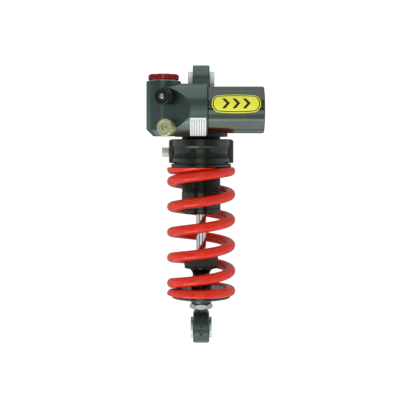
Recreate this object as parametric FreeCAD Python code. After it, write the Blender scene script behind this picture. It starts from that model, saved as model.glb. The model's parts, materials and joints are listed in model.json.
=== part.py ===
import FreeCAD, Part

import math
import os

# Rear shock absorber of a motorcycle, with a horizontal gas reservoir beside its head.
# Millimetres. +Z runs up the shock's axis, +X along the eye bolts, and -Y is the reservoir's side.
# The origin is the centre of the upper eye, so most heights are negative.

Vector = FreeCAD.Vector

# --- driving dimensions -------------------------------------------------------------------
EYE_TO_EYE = 294.0              # between the two eye centres, shock fully extended
ROD_R = 6.0
BODY_R = 23.4                   # thread crest of the damper body
BORE_R = 18.0                   # bore of the damper body, a 36 mm piston
THREAD_PITCH = 1.5

SPRING_WIRE_R = 5.9
SPRING_MEAN_R = 35.1
SPRING_TOP_Z = -102.2
SPRING_BOTTOM_Z = -254.3

HEAD_BASE_Z = -65.7
FLANGE_R = 31.7                 # round foot of the head, above the preload ring
RESERVOIR_Y = -46.0             # the reservoir's axis stands this far in front of the shock's
RESERVOIR_Z = -35.3
RESERVOIR_R = 27.0
RESERVOIR_BORE_R = 23.5
RESERVOIR_END_X = 72.1
HEAD_BARREL_R = 30.4            # barrel of the head, in line with the reservoir
HEAD_FACE_X = 7.3
BOSS_X = -43.6                  # upright valve boss at the barrel's far end
BOSS_Y = -38.5
BOSS_R = 20.1
BOSS_TOP_Z = -1.8
BOSS_CHAMFER = 8.0

FACET_X = -12.0                 # where the slanted facet leaves the front of the barrel
FACET_ANGLE = 27.5              # degrees between the facet and the X axis

EYE_R_UPPER = 20.0
EYE_HALF_UPPER = 10.0
EYE_R_LOWER = 18.5
EYE_HALF_LOWER = 9.6
EYE_EDGE_LOWER = 1.6
EYE_TAPER = 28.0                # its neck leans in by this many degrees from the vertical
EYE_NECK_TOP_Z = -275.2
SPACER_END_UPPER = 15.9         # half the width between the outer faces of the spacers
SPACER_END_LOWER = 12.55
SPACER_R = 12.5
BOLT_R = 5.0                    # M10 eye bolts

RING_TOP_Z = -68.6              # preload ring
RING_BOTTOM_Z = -96.2
RING_R = 36.7
RING_WAIST_R = 35.0
RING_WAIST_TOP_Z = -77.3
RING_WAIST_BOTTOM_Z = -91.6
RING_LUG_R = 38.8
WASHER_BOTTOM_Z = -97.4
UPPER_SEAT_TOP_Z = -97.43

LOCK_Z = -84.0                  # cap screw in the preload ring's left lug
LOCK_THREAD_R = 3.0
LOCK_HEAD_R = 5.6
LOCK_HEAD_OUT = -47.0
LOCK_HEAD_IN = -38.85
LOCK_TIP = -26.0

SEAT_RIM_R = 35.0               # lower spring seat
ADAPTER_BOTTOM_Z = -265.0
NUT_ACROSS_FLATS = 24.0
NUT_TOP_Z = -265.2
NUT_BOTTOM_Z = -271.5
SHANK_R = 8.0                   # M16 thread of the lower eye
GRUB_R = 2.0                    # screw in the lower eye's face, in front of its race
GRUB_ANGLE = 16.0               # it looks forward and this far downward
PUNCH_R = 1.4
PUNCH_ANGLE = -12.0             # a punch mark above it, looking this far upward

RUN_GAP = 0.05                  # radial clearance of a running or screwed fit
FREE_GAP = 0.3                  # clearance between parts that only pass each other

# --- shared helpers -----------------------------------------------------------------------
X_AXIS = Vector(1, 0, 0)
Z_AXIS = Vector(0, 0, 1)
ORIGIN = Vector(0, 0, 0)
RESERVOIR_BASE = Vector(0, RESERVOIR_Y, RESERVOIR_Z)
FACET_NORMAL = Vector(-math.sin(math.radians(FACET_ANGLE)), -math.cos(math.radians(FACET_ANGLE)), 0)
FACET_ALONG = Vector(-math.cos(math.radians(FACET_ANGLE)), math.sin(math.radians(FACET_ANGLE)), 0)
FACET_POINT = Vector(FACET_X, RESERVOIR_Y - HEAD_BARREL_R, 0)


def forward_below(degrees):
    """The direction that looks to -Y and this far downward."""
    angle = math.radians(degrees)
    return Vector(0, -math.cos(angle), -math.sin(angle))


def save(name, shape):
    shape.exportStep(os.path.join("parts", name + ".step"))


def turned(points):
    """A solid of revolution about Z from (radius, z) points of its half section."""
    corners = [Vector(r, 0, z) for r, z in points]
    outline = Part.makePolygon(corners + [corners[0]])
    return Part.Face(outline).revolve(ORIGIN, Z_AXIS, 360)


def bush(outer, inner, low, high):
    """A plain ring about Z."""
    return turned([(inner, low), (outer, low), (outer, high), (inner, high)])


def rod(radius, low, high):
    """A plain cylinder about Z."""
    return Part.makeCylinder(radius, high - low, Vector(0, 0, low))


def o_ring(radius, thickness, z):
    return Part.makeTorus(radius, thickness / 2, Vector(0, 0, z))


def prism(sides, across_flats, low, high):
    """A regular prism about Z with its first flat facing -Y."""
    corner_r = across_flats / 2 / math.cos(math.pi / sides)
    first = -math.pi / 2 + math.pi / sides
    corners = []
    for step in range(sides + 1):
        angle = first + 2 * math.pi * step / sides
        corners.append(Vector(corner_r * math.cos(angle), corner_r * math.sin(angle), low))
    return Part.Face(Part.makePolygon(corners)).extrude(Vector(0, 0, high - low))


def laid(shape, base, direction):
    """Turn a shape made about +Z so that +Z points along direction, with its origin at base."""
    turn = FreeCAD.Rotation(Z_AXIS, direction)
    placed = shape.copy()
    placed.Placement = FreeCAD.Placement(base, turn).multiply(placed.Placement)
    return placed


def around_z(shape, count, first=0.0):
    """Copies of a shape spaced evenly about Z."""
    copies = []
    for step in range(count):
        piece = shape.copy()
        piece.rotate(ORIGIN, Z_AXIS, first + 360.0 * step / count)
        copies.append(piece)
    return copies


def facet_place(x, z):
    """The point of the slanted facet at a given x and z."""
    step = (x - FACET_POINT.x) / FACET_ALONG.x
    place = FACET_POINT + FACET_ALONG * step
    return Vector(place.x, place.y, z)


# --- head ---------------------------------------------------------------------------------
RACE_R = 13.0
CAVITY_TOP_Z = -38.0
TUBE_TOP_Z = -52.0
NECK_R = 28.0                   # upright column of the head above its foot
NECK_TOP_Z = -30.0
FOOT_TOP_Z = -60.5
RESERVOIR_SPIGOT_X = -6.0       # the reservoir's spigot reaches this far into the head
RESERVOIR_SPIGOT_R = 25.0
VALVE_R = 12.0
VALVE_BOTTOM_Z = -43.0
OIL_WAY_R = 3.5
NEEDLE_R = 3.0
NEEDLE_DEPTH = 18.0
KNOB_PLACES = {"rebound": (-38.2, -21.0), "low_speed": (-36.1, -56.1)}
REAR_FACET_CLEAR = 21.0         # the rear facet stands this far behind the boss's axis


def eye_lug():
    """The upright plate that ends in the upper eye, waisted into the neck below it."""
    plate = Part.makeCylinder(EYE_R_UPPER, 2 * EYE_HALF_UPPER, Vector(-EYE_HALF_UPPER, 0, 0), X_AXIS)
    foot_half = 23.0
    corners = [Vector(-EYE_HALF_UPPER, y, z) for y, z in (
        (-EYE_R_UPPER, 0), (EYE_R_UPPER, 0), (foot_half, NECK_TOP_Z - 6), (-foot_half, NECK_TOP_Z - 6))]
    web = Part.Face(Part.makePolygon(corners + [corners[0]])).extrude(Vector(2 * EYE_HALF_UPPER, 0, 0))
    lug = plate.fuse(web).removeSplitter()
    rims = []
    for edge in lug.Edges:
        flat = abs(abs(edge.CenterOfMass.x) - EYE_HALF_UPPER) < 0.01
        if flat and edge.BoundBox.ZMax > NECK_TOP_Z + 1:
            rims.append(edge)
    return lug.makeChamfer(0.8, rims)


def facet_cut(point, normal):
    """A large block whose flat side passes through a point and that fills the side of its normal."""
    block = Part.makeBox(300, 300, 200, Vector(-150, -150, 0))
    return laid(block, Vector(point.x, point.y, RESERVOIR_Z), normal)


def head_outside():
    length = HEAD_FACE_X - BOSS_X
    barrel = Part.makeCylinder(HEAD_BARREL_R, length, Vector(BOSS_X, RESERVOIR_Y, RESERVOIR_Z), X_AXIS)
    rim = [edge for edge in barrel.Edges if abs(edge.CenterOfMass.x - HEAD_FACE_X) < 0.01]
    barrel = barrel.makeChamfer(0.9, rim)
    foot = bush(FLANGE_R, 1.0, HEAD_BASE_Z, FOOT_TOP_Z)
    neck = turned([(0, HEAD_BASE_Z), (NECK_R, HEAD_BASE_Z), (NECK_R, NECK_TOP_Z - 3),
                   (NECK_R - 3, NECK_TOP_Z), (0, NECK_TOP_Z)])
    boss = turned([(0, HEAD_BASE_Z), (BOSS_R - BOSS_CHAMFER, HEAD_BASE_Z),
                   (BOSS_R, HEAD_BASE_Z + BOSS_CHAMFER), (BOSS_R, BOSS_TOP_Z - 0.6),
                   (BOSS_R - 0.6, BOSS_TOP_Z), (0, BOSS_TOP_Z)])
    boss.translate(Vector(BOSS_X, BOSS_Y, 0))
    room_start = Vector(HEAD_FACE_X, RESERVOIR_Y, RESERVOIR_Z)
    reservoir_room = Part.makeCylinder(RESERVOIR_R + 2 * FREE_GAP, 100, room_start, X_AXIS)
    column = foot.fuse([neck, eye_lug()]).cut(reservoir_room)
    rear_normal = Vector(FACET_NORMAL.x, -FACET_NORMAL.y, 0)
    rear_point = Vector(BOSS_X, BOSS_Y, 0) + rear_normal * REAR_FACET_CLEAR
    barrel = barrel.cut(facet_cut(rear_point, rear_normal))
    solid = barrel.fuse([boss, column])
    return solid.cut(facet_cut(FACET_POINT, FACET_NORMAL))


def oil_way(start, end):
    run = end - start
    return Part.makeCylinder(OIL_WAY_R, run.Length, start, run)


def head_casting():
    tube_bore = rod(BODY_R + RUN_GAP, HEAD_BASE_Z - 1, TUBE_TOP_Z)
    cavity = rod(BORE_R, TUBE_TOP_Z - 1, CAVITY_TOP_Z)
    race_start = Vector(-2 * EYE_HALF_UPPER, 0, 0)
    race_bore = Part.makeCylinder(RACE_R + RUN_GAP, 4 * EYE_HALF_UPPER, race_start, X_AXIS)
    valve_bore = Part.makeCylinder(VALVE_R + RUN_GAP, 100, Vector(BOSS_X, BOSS_Y, VALVE_BOTTOM_Z))
    room_length = HEAD_FACE_X - RESERVOIR_SPIGOT_X + 1
    spigot_room = Part.makeCylinder(RESERVOIR_SPIGOT_R + RUN_GAP, room_length,
                                    Vector(RESERVOIR_SPIGOT_X, RESERVOIR_Y, RESERVOIR_Z), X_AXIS)
    reservoir_end = Vector(RESERVOIR_SPIGOT_X + 1, RESERVOIR_Y, RESERVOIR_Z)
    to_reservoir = oil_way(reservoir_end, Vector(BOSS_X, BOSS_Y, -36))
    to_body = oil_way(Vector(-10, -8, -47), Vector(BOSS_X, BOSS_Y, -41))
    cuts = [tube_bore, cavity, race_bore, valve_bore, spigot_room, to_reservoir, to_body]
    for x, z in KNOB_PLACES.values():
        mouth = facet_place(x, z)
        depth = NEEDLE_DEPTH + 1
        cuts.append(Part.makeCylinder(NEEDLE_R + RUN_GAP, depth, mouth, FACET_NORMAL * -1))
    for side in (-1, 1):
        cuts.append(circlip_groove(side))
    return head_outside().cut(cuts)


# --- spherical bearings of the eyes -------------------------------------------------------
BALL_R = 8.5
BALL_HALF = 5.6
RACE_HALF = 4.75
CLIP_IN = 4.8
CLIP_OUT = 6.0
CLIP_R = 14.0


def circlip_groove(side):
    ring = bush(CLIP_R + RUN_GAP, RACE_R - 1, CLIP_IN - RUN_GAP, CLIP_OUT + RUN_GAP)
    return laid(ring, ORIGIN, X_AXIS * side)


def eye_circlip(side):
    """A wire-cut snap ring with its gap and two lug holes."""
    ring = bush(CLIP_R, 11.2, CLIP_IN, CLIP_OUT)
    lugs = []
    holes = []
    for angle in (-22, 22):
        place = Vector(10.6 * math.cos(math.radians(angle)), 10.6 * math.sin(math.radians(angle)), CLIP_IN)
        lugs.append(Part.makeCylinder(1.9, CLIP_OUT - CLIP_IN, place))
        holes.append(Part.makeCylinder(0.7, CLIP_OUT - CLIP_IN, place))
    gap = Part.makeBox(10, 4, 10, Vector(8, -2, 0))
    clip = ring.fuse(lugs).cut(holes + [gap]).removeSplitter()
    return laid(clip, ORIGIN, X_AXIS * side)


def bearing_race():
    ring = bush(RACE_R, 6.0, -RACE_HALF, RACE_HALF)
    return laid(ring.cut(Part.makeSphere(BALL_R + RUN_GAP)), ORIGIN, X_AXIS)


def bearing_ball():
    ball = Part.makeSphere(BALL_R)
    ball = ball.common(rod(BALL_R + 1, -BALL_HALF, BALL_HALF))
    return laid(ball.cut(rod(BOLT_R, -20, 20)), ORIGIN, X_AXIS)


def eye_spacer(side, eye_half, end):
    """A stepped spacer: it stands on the ball's flat and carries a collar outside the eye."""
    collar = eye_half + FREE_GAP
    spacer = turned([(BOLT_R, BALL_HALF + 0.01), (6.3, BALL_HALF + 0.01), (8.2, BALL_HALF + 2.6),
                     (8.2, collar), (SPACER_R, collar), (SPACER_R, end - 0.5), (SPACER_R - 0.5, end),
                     (BOLT_R + 0.6, end), (BOLT_R, end - 0.6)])
    return laid(spacer, ORIGIN, X_AXIS * side)


def save_bearing(prefix, eye_half, end, drop):
    clips = Part.makeCompound([eye_circlip(side) for side in (-1, 1)])
    spacers = Part.makeCompound([eye_spacer(side, eye_half, end) for side in (-1, 1)])
    parts = {"bearing_race": bearing_race(), "bearing_ball": bearing_ball(),
             "bearing_circlips": clips, "bearing_spacers": spacers}
    for name, shape in parts.items():
        shape.translate(Vector(0, 0, drop))
        save(prefix + "_" + name, shape)


# --- reservoir ----------------------------------------------------------------------------
CAP_IN_X = 52.0
CAP_OUT_X = 60.0
CAP_CLIP_X = 61.3
GROOVE_COUNT = 6                # fine grooves along the reservoir tube
GROOVE_WIDTH = 0.8
GROOVE_DEPTH = 1.1
GAS_PISTON_X = 14.0
GAS_PISTON_LENGTH = 13.0
SEAL_SECTION = 2.4


def along_reservoir(shape):
    return laid(shape, RESERVOIR_BASE, X_AXIS)


def reservoir_tube():
    tube = turned([(RESERVOIR_BORE_R, RESERVOIR_SPIGOT_X + 0.1),
                   (RESERVOIR_SPIGOT_R, RESERVOIR_SPIGOT_X + 0.1),
                   (RESERVOIR_SPIGOT_R, HEAD_FACE_X + 0.4), (RESERVOIR_R - 0.5, HEAD_FACE_X + 0.4),
                   (RESERVOIR_R, HEAD_FACE_X + 0.9), (RESERVOIR_R, RESERVOIR_END_X - 1.0),
                   (RESERVOIR_R - 1.0, RESERVOIR_END_X), (RESERVOIR_BORE_R + 0.8, RESERVOIR_END_X),
                   (RESERVOIR_BORE_R, RESERVOIR_END_X - 0.8)])
    clip_groove = bush(RESERVOIR_BORE_R + 1.2, RESERVOIR_BORE_R - 1, CAP_OUT_X + 0.03, CAP_CLIP_X + 0.03)
    ring_groove = bush(RESERVOIR_SPIGOT_R + 1, RESERVOIR_SPIGOT_R - 0.9, -1.2, 0.6)
    tube = along_reservoir(tube.cut([clip_groove, ring_groove]))
    length = RESERVOIR_END_X - HEAD_FACE_X
    groove = Part.makeBox(2 * GROOVE_DEPTH, GROOVE_WIDTH, length)
    groove.translate(Vector(RESERVOIR_R - GROOVE_DEPTH, -GROOVE_WIDTH / 2, HEAD_FACE_X + 0.3))
    grooves = [along_reservoir(copy) for copy in around_z(groove, GROOVE_COUNT, 90)]
    return tube.cut(grooves)


def reservoir_end_cap():
    radius = RESERVOIR_BORE_R - RUN_GAP
    cap = turned([(3.0, CAP_IN_X), (radius, CAP_IN_X), (radius, CAP_OUT_X), (19.5, CAP_OUT_X),
                  (19.0, CAP_OUT_X - 2.2), (8.0, CAP_OUT_X - 2.2), (7.5, CAP_OUT_X), (3.0, CAP_OUT_X)])
    groove_in = CAP_IN_X + 2.0
    seal_groove = bush(radius + 1, radius - SEAL_SECTION, groove_in, groove_in + SEAL_SECTION + 0.4)
    return along_reservoir(cap.cut(seal_groove))


def end_cap_o_ring():
    middle = CAP_IN_X + 2.0 + (SEAL_SECTION + 0.4) / 2
    ring_r = RESERVOIR_BORE_R - RUN_GAP - SEAL_SECTION / 2
    return along_reservoir(o_ring(ring_r, SEAL_SECTION - 0.1, middle))


def end_cap_circlip():
    ring = bush(RESERVOIR_BORE_R + 1.1, RESERVOIR_BORE_R - 1.6, CAP_OUT_X + 0.05, CAP_CLIP_X)
    gap = Part.makeBox(10, 5, 10, Vector(RESERVOIR_BORE_R - 5, -2.5, CAP_OUT_X - 1))
    return along_reservoir(ring.cut(gap))


def reservoir_o_ring():
    return along_reservoir(o_ring(RESERVOIR_SPIGOT_R - 0.42, 0.8, -0.3))


def gas_valve():
    hexagon = prism(6, 10.0, CAP_OUT_X + 0.02, CAP_OUT_X + 3.0)
    stem = turned([(1.2, CAP_IN_X - 2), (2.95, CAP_IN_X - 2), (2.95, CAP_OUT_X), (3.6, CAP_OUT_X + 2),
                   (3.6, CAP_OUT_X + 8.5), (1.2, CAP_OUT_X + 8.5)])
    return along_reservoir(hexagon.fuse(stem).cut(rod(1.2, CAP_IN_X - 3, RESERVOIR_END_X)))


def gas_valve_cap():
    low = CAP_OUT_X + 3.4
    high = CAP_OUT_X + 10.6
    cap = turned([(3.65, low), (5.0, low), (5.0, high - 1.0), (4.0, high), (0, high), (0, high - 1.6),
                  (3.65, high - 1.6)])
    knurl = Part.makeCylinder(0.4, 20, Vector(5.1, 0, low - 1))
    return along_reservoir(cap.cut(around_z(knurl, 16)))


def gas_piston():
    radius = RESERVOIR_BORE_R - RUN_GAP
    start = GAS_PISTON_X
    end = GAS_PISTON_X + GAS_PISTON_LENGTH
    piston = turned([(0, start), (radius, start), (radius, end), (radius - 3, end),
                     (radius - 4.5, start + 4), (0, start + 4)])
    groove = bush(radius + 1, radius - SEAL_SECTION, start + 5, start + 5 + SEAL_SECTION + 0.4)
    return along_reservoir(piston.cut(groove))


def gas_piston_seal():
    middle = GAS_PISTON_X + 5 + (SEAL_SECTION + 0.4) / 2
    ring_r = RESERVOIR_BORE_R - RUN_GAP - SEAL_SECTION / 2
    return along_reservoir(o_ring(ring_r, SEAL_SECTION - 0.1, middle))


def wrapped_plate(radius, thickness, half_length, low_angle, high_angle, corner_r, middle_x):
    """A thin plate that lies on a cylinder along X, with rounded corners seen from its own front."""
    shell = bush(radius + thickness, radius, -half_length, half_length)
    shell = laid(shell, Vector(middle_x, RESERVOIR_Y, RESERVOIR_Z), X_AXIS)
    middle_angle = math.radians((low_angle + high_angle) / 2)
    half_height = radius * math.sin(math.radians(high_angle - low_angle) / 2)
    outward = Vector(0, -math.cos(middle_angle), math.sin(middle_angle))
    upward = Vector(0, math.sin(middle_angle), math.cos(middle_angle))
    block = Part.makeBox(2 * half_length, 2 * half_height, 2 * radius)
    block.translate(Vector(-half_length, -half_height, radius * 0.3))
    upright = [edge for edge in block.Edges if edge.BoundBox.ZLength > 1]
    block = block.makeFillet(corner_r, upright)
    frame = FreeCAD.Matrix(1, 0, 0, middle_x,
                           0, upward.y, outward.y, RESERVOIR_Y,
                           0, upward.z, outward.z, RESERVOIR_Z,
                           0, 0, 0, 1)
    block = block.transformGeometry(frame)
    return shell.common(block)


def badge_plate():
    return wrapped_plate(RESERVOIR_R + 0.02, 0.5, 27.8, -10.0, 36.4, 10.2, 39.6)


def spec_label():
    return wrapped_plate(HEAD_BARREL_R + 0.02, 0.2, 9.1, -78.0, -19.4, 1.6, -3.6)


# --- adjusters ----------------------------------------------------------------------------
def on_facet(shape, name):
    x, z = KNOB_PLACES[name]
    return laid(shape, facet_place(x, z), FACET_NORMAL)


def adjuster_needle(tip_r):
    """The spindle that a knob turns; its tip sits inside the head."""
    return turned([(0, -NEEDLE_DEPTH), (tip_r, -NEEDLE_DEPTH), (NEEDLE_R, -NEEDLE_DEPTH + 4),
                   (NEEDLE_R, 5.0), (0, 5.0)])


def knob_screw(low, high, head_r):
    """A button screw in the middle of a knob, with its hexagon socket."""
    screw = turned([(0, 5.05), (1.4, 5.05), (1.4, low), (head_r, low), (head_r, high - 0.6),
                    (head_r - 0.6, high), (0, high)])
    return screw.cut(prism(6, 2.0, high - 1.4, high + 1))


LOW_SPEED_KNOB_R = 10.0
LOW_SPEED_LOBES = 12


def low_speed_knob():
    """A stepped knob: a plain drum with spanner dimples, and a scalloped disc in front of it."""
    knob = turned([(NEEDLE_R + RUN_GAP, 0.4), (7.4, 0.4), (7.4, 1.4), (9.1, 1.4), (9.1, 7.0), (8.6, 7.6),
                   (LOW_SPEED_KNOB_R - 0.5, 7.6), (LOW_SPEED_KNOB_R, 8.1), (LOW_SPEED_KNOB_R, 11.6),
                   (LOW_SPEED_KNOB_R - 0.8, 12.4), (7.2, 12.4), (6.9, 12.0), (4.6, 12.0), (4.3, 12.4),
                   (3.3, 12.4), (3.3, 10.8), (1.45, 10.8), (1.45, 5.1), (NEEDLE_R + RUN_GAP, 5.1)])
    scallop = Part.makeCylinder(1.6, 10, Vector(LOW_SPEED_KNOB_R + 0.95, 0, 7.65))
    dimple = Part.makeCylinder(1.0, 3, Vector(8.0, 0, 4.4), X_AXIS)
    return knob.cut(around_z(scallop, LOW_SPEED_LOBES) + around_z(dimple, 6, 30))


REBOUND_KNOB_R = 9.9
REBOUND_GROOVES = 20


def rebound_knob():
    """A straight fluted knob with a stepped face."""
    knob = turned([(NEEDLE_R + RUN_GAP, 0.4), (7.0, 0.4), (7.0, 1.6), (9.0, 2.2), (9.0, 5.6),
                   (REBOUND_KNOB_R, 6.2), (REBOUND_KNOB_R, 13.5), (REBOUND_KNOB_R - 0.8, 14.3),
                   (8.2, 14.3), (7.6, 13.3), (5.6, 13.3), (5.0, 14.0), (3.5, 14.0), (3.5, 12.2),
                   (1.45, 12.2), (1.45, 5.1), (NEEDLE_R + RUN_GAP, 5.1)])
    flute = Part.makeCylinder(0.75, 20, Vector(REBOUND_KNOB_R + 0.3, 0, 6.0))
    notch = Part.makeCylinder(0.9, 3.2, Vector(9.2, 0, 2.4))
    return knob.cut(around_z(flute, REBOUND_GROOVES) + around_z(notch, 10))


HIGH_SPEED_KNOB_R = 17.75
HIGH_SPEED_LOBES = 12
HIGH_SPEED_LOW_Z = -0.75
HIGH_SPEED_TOP_Z = 6.1


def on_boss(shape):
    placed = shape.copy()
    placed.translate(Vector(BOSS_X, BOSS_Y, 0))
    return placed


def high_speed_knob():
    """The wide scalloped knob on top of the boss."""
    low = HIGH_SPEED_LOW_Z
    top = HIGH_SPEED_TOP_Z
    edge = HIGH_SPEED_KNOB_R
    knob = turned([(3.1, low), (edge - 1.0, low), (edge, low + 1.0), (edge, top - 1.6), (edge - 1.6, top),
                   (12.6, top), (12.0, top - 0.8), (7.0, top - 0.8), (6.4, top - 0.2), (4.6, top - 0.2),
                   (4.6, top - 2.0), (3.1, top - 2.0)])
    scallop = Part.makeCylinder(3.6, 20, Vector(edge + 2.5, 0, low - 5))
    return on_boss(knob.cut(around_z(scallop, HIGH_SPEED_LOBES, 15)))


def high_speed_stem():
    top = HIGH_SPEED_TOP_Z
    stem = turned([(0, -30), (1.0, -30), (3.0, -26), (3.0, top - 1.95), (4.4, top - 1.95), (4.4, top - 0.9),
                   (3.9, top - 0.4), (0, top - 0.4)])
    return on_boss(stem.cut(prism(6, 3.0, top - 2.4, top)))


def valve_gland():
    """The screwed ring that closes the boss; its thin rim shows under the wide knob."""
    return on_boss(turned([(3.0 + RUN_GAP, -9), (VALVE_R, -9), (VALVE_R, BOSS_TOP_Z + 0.02),
                           (16.6, BOSS_TOP_Z + 0.02), (16.6, HIGH_SPEED_LOW_Z - 0.15),
                           (3.0 + RUN_GAP, HIGH_SPEED_LOW_Z - 0.15)]))


def compression_valve():
    """The valve cartridge inside the boss, with its cross ports."""
    body = turned([(3.0 + FREE_GAP, -31), (3.0 + FREE_GAP, -9.1), (VALVE_R - 0.02, -9.1),
                   (VALVE_R - 0.02, -14), (9.0, -16), (9.0, -24),
                   (VALVE_R - 0.02, -26), (VALVE_R - 0.02, -32), (8.0, -34),
                   (8.0, -40), (3.0, -40), (3.0, -34), (1.5, -32.5), (1.5, -31)])
    port = Part.makeCylinder(1.6, 10, Vector(2.0, 0, -20), X_AXIS)
    return on_boss(body.cut(around_z(port, 6)))


# --- damper -------------------------------------------------------------------------------
THREAD_END_Z = -132.6
BODY_BOTTOM_Z = -151.2
SEAL_HEAD_BOTTOM_Z = -157.4
SEAL_THREAD_R = 19.6
SEAL_THREAD_TOP_Z = -140.0
SEAL_HEAD_TOP_Z = -132.0
ROD_WAY_R = 6.4                 # plain hole of the seal head around the rod
BUSH_R = 8.0
BUSH_ROOM_LOW_Z = -146.0        # pocket of the rod bush in the seal head
BUSH_ROOM_HIGH_Z = -134.0
SEAL_R = 9.5
SEAL_ROOM_TOP_Z = -146.5        # pocket of the rod seal, above the wiper's
WIPER_ROOM_TOP_Z = -151.6
WIPER_LIP_Z = -158.6
HEAD_RING_Z = -136.2            # middle of the seal head's O-ring
HEAD_RING_HALF = 1.2            # half the width of its groove
PIN_HOLE_R = 1.6
PIN_CIRCLE_R = 15.5
PISTON_BOTTOM_Z = -124.8
PISTON_TOP_Z = -112.8
PISTON_R = 17.7
PISTON_LAND_R = 15.0            # raised faces on which the shims lie
PORT_R = 1.7
PORT_CIRCLE_R = 11.0
BAND_LOW_Z = -121.4             # groove of the piston band
BAND_HIGH_Z = -116.2
BAND_IN_R = 16.4
SPIGOT_R = 5.0                  # upper end of the rod, which carries the piston
ROD_TOP_Z = -102.2
ROD_SHOULDER_Z = -126.9
ROD_BOTTOM_Z = -251.8
ROD_BORE_R = 2.0
ROD_BORE_BOTTOM_Z = -240.0
TOP_OUT_LOW_Z = -131.7
TOP_OUT_HIGH_Z = -127.0
TOP_OUT_R = 11.0
SHIM_COUNT = 4
SHIM_R = 14.0
SHIM_STEP_R = 1.6               # each shim is smaller than the one below it by this much
SHIM_SPACING = 0.5
SHIM_THICKNESS = 0.46
PISTON_NUT_ACROSS_FLATS = 17.0
PISTON_NUT_TOP_Z = -104.0


def thread_points():
    """The turned outline of the body's thread, one ridge for each pitch, from its top downwards."""
    points = []
    ridges = int((TUBE_TOP_Z - THREAD_END_Z) / THREAD_PITCH)
    for ridge in range(ridges):
        crest = TUBE_TOP_Z - 0.8 - THREAD_PITCH * ridge
        points.append((BODY_R, crest))
        points.append((BODY_R, crest - 0.35))
        points.append((BODY_R - 0.75, crest - 0.85))
        points.append((BODY_R - 0.75, crest - 1.0))
    return points


def damper_tube():
    outline = [(BORE_R, TUBE_TOP_Z), (BODY_R - 0.8, TUBE_TOP_Z)]
    outline += thread_points()
    outline += [(BODY_R - 0.75, THREAD_END_Z), (BODY_R, THREAD_END_Z - 0.75), (BODY_R, BODY_BOTTOM_Z + 0.4),
                (BODY_R - 0.4, BODY_BOTTOM_Z), (SEAL_THREAD_R + RUN_GAP, BODY_BOTTOM_Z),
                (SEAL_THREAD_R + RUN_GAP, SEAL_THREAD_TOP_Z + 0.5), (BORE_R, SEAL_THREAD_TOP_Z + 0.5)]
    return turned(outline)


def seal_head():
    head = turned([(ROD_WAY_R, SEAL_HEAD_TOP_Z), (BORE_R - 0.1, SEAL_HEAD_TOP_Z),
                   (BORE_R - 0.1, SEAL_THREAD_TOP_Z), (SEAL_THREAD_R, SEAL_THREAD_TOP_Z),
                   (SEAL_THREAD_R, BODY_BOTTOM_Z - 0.05),
                   (BODY_R - 0.4, BODY_BOTTOM_Z - 0.05), (BODY_R, BODY_BOTTOM_Z - 0.45),
                   (BODY_R, SEAL_HEAD_BOTTOM_Z + 1.2), (BODY_R - 1.2, SEAL_HEAD_BOTTOM_Z),
                   (SEAL_R, SEAL_HEAD_BOTTOM_Z), (SEAL_R, WIPER_ROOM_TOP_Z),
                   (ROD_WAY_R, WIPER_ROOM_TOP_Z)])
    bush_room = rod(BUSH_R + 0.02, BUSH_ROOM_LOW_Z, BUSH_ROOM_HIGH_Z)
    seal_room = rod(SEAL_R, WIPER_ROOM_TOP_Z - 0.1, SEAL_ROOM_TOP_Z)
    ring_groove = bush(BORE_R + 1, BORE_R - 2.1, HEAD_RING_Z - HEAD_RING_HALF, HEAD_RING_Z + HEAD_RING_HALF)
    pin_hole = Part.makeCylinder(PIN_HOLE_R, 4.0, Vector(PIN_CIRCLE_R, 0, SEAL_HEAD_BOTTOM_Z - 1))
    return head.cut([bush_room, seal_room, ring_groove] + around_z(pin_hole, 4, 45))


def rod_seal():
    return bush(SEAL_R - 0.05, ROD_R + RUN_GAP, WIPER_ROOM_TOP_Z + 0.6, SEAL_ROOM_TOP_Z - 0.1)


def wiper_seal():
    top = WIPER_ROOM_TOP_Z - 0.4
    return turned([(ROD_R + RUN_GAP, WIPER_LIP_Z), (ROD_R + 1.4, WIPER_LIP_Z + 1.0),
                   (SEAL_R - 0.05, WIPER_LIP_Z + 1.3), (SEAL_R - 0.05, top), (ROD_R + RUN_GAP, top)])


def seal_head_o_ring():
    return o_ring(BORE_R - 1.1, 1.9, HEAD_RING_Z)


def damper_rod():
    """Hard-chromed rod with a shouldered spigot for the piston and a bore for the needle."""
    blank = turned([(0, ROD_BOTTOM_Z), (ROD_R - 0.5, ROD_BOTTOM_Z), (ROD_R, ROD_BOTTOM_Z + 0.8),
                    (ROD_R, ROD_SHOULDER_Z), (SPIGOT_R, ROD_SHOULDER_Z), (SPIGOT_R, ROD_TOP_Z - 0.8),
                    (SPIGOT_R - 0.8, ROD_TOP_Z), (0, ROD_TOP_Z)])
    needle_bore = rod(ROD_BORE_R, ROD_BORE_BOTTOM_Z, ROD_TOP_Z + 1)
    return blank.cut(needle_bore)


def top_out_rubber():
    soft = 0.8
    return turned([(ROD_R + 0.02, TOP_OUT_LOW_Z), (TOP_OUT_R - soft, TOP_OUT_LOW_Z),
                   (TOP_OUT_R, TOP_OUT_LOW_Z + soft), (TOP_OUT_R, TOP_OUT_HIGH_Z - soft),
                   (TOP_OUT_R - soft, TOP_OUT_HIGH_Z), (ROD_R + 0.02, TOP_OUT_HIGH_Z)])


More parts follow.
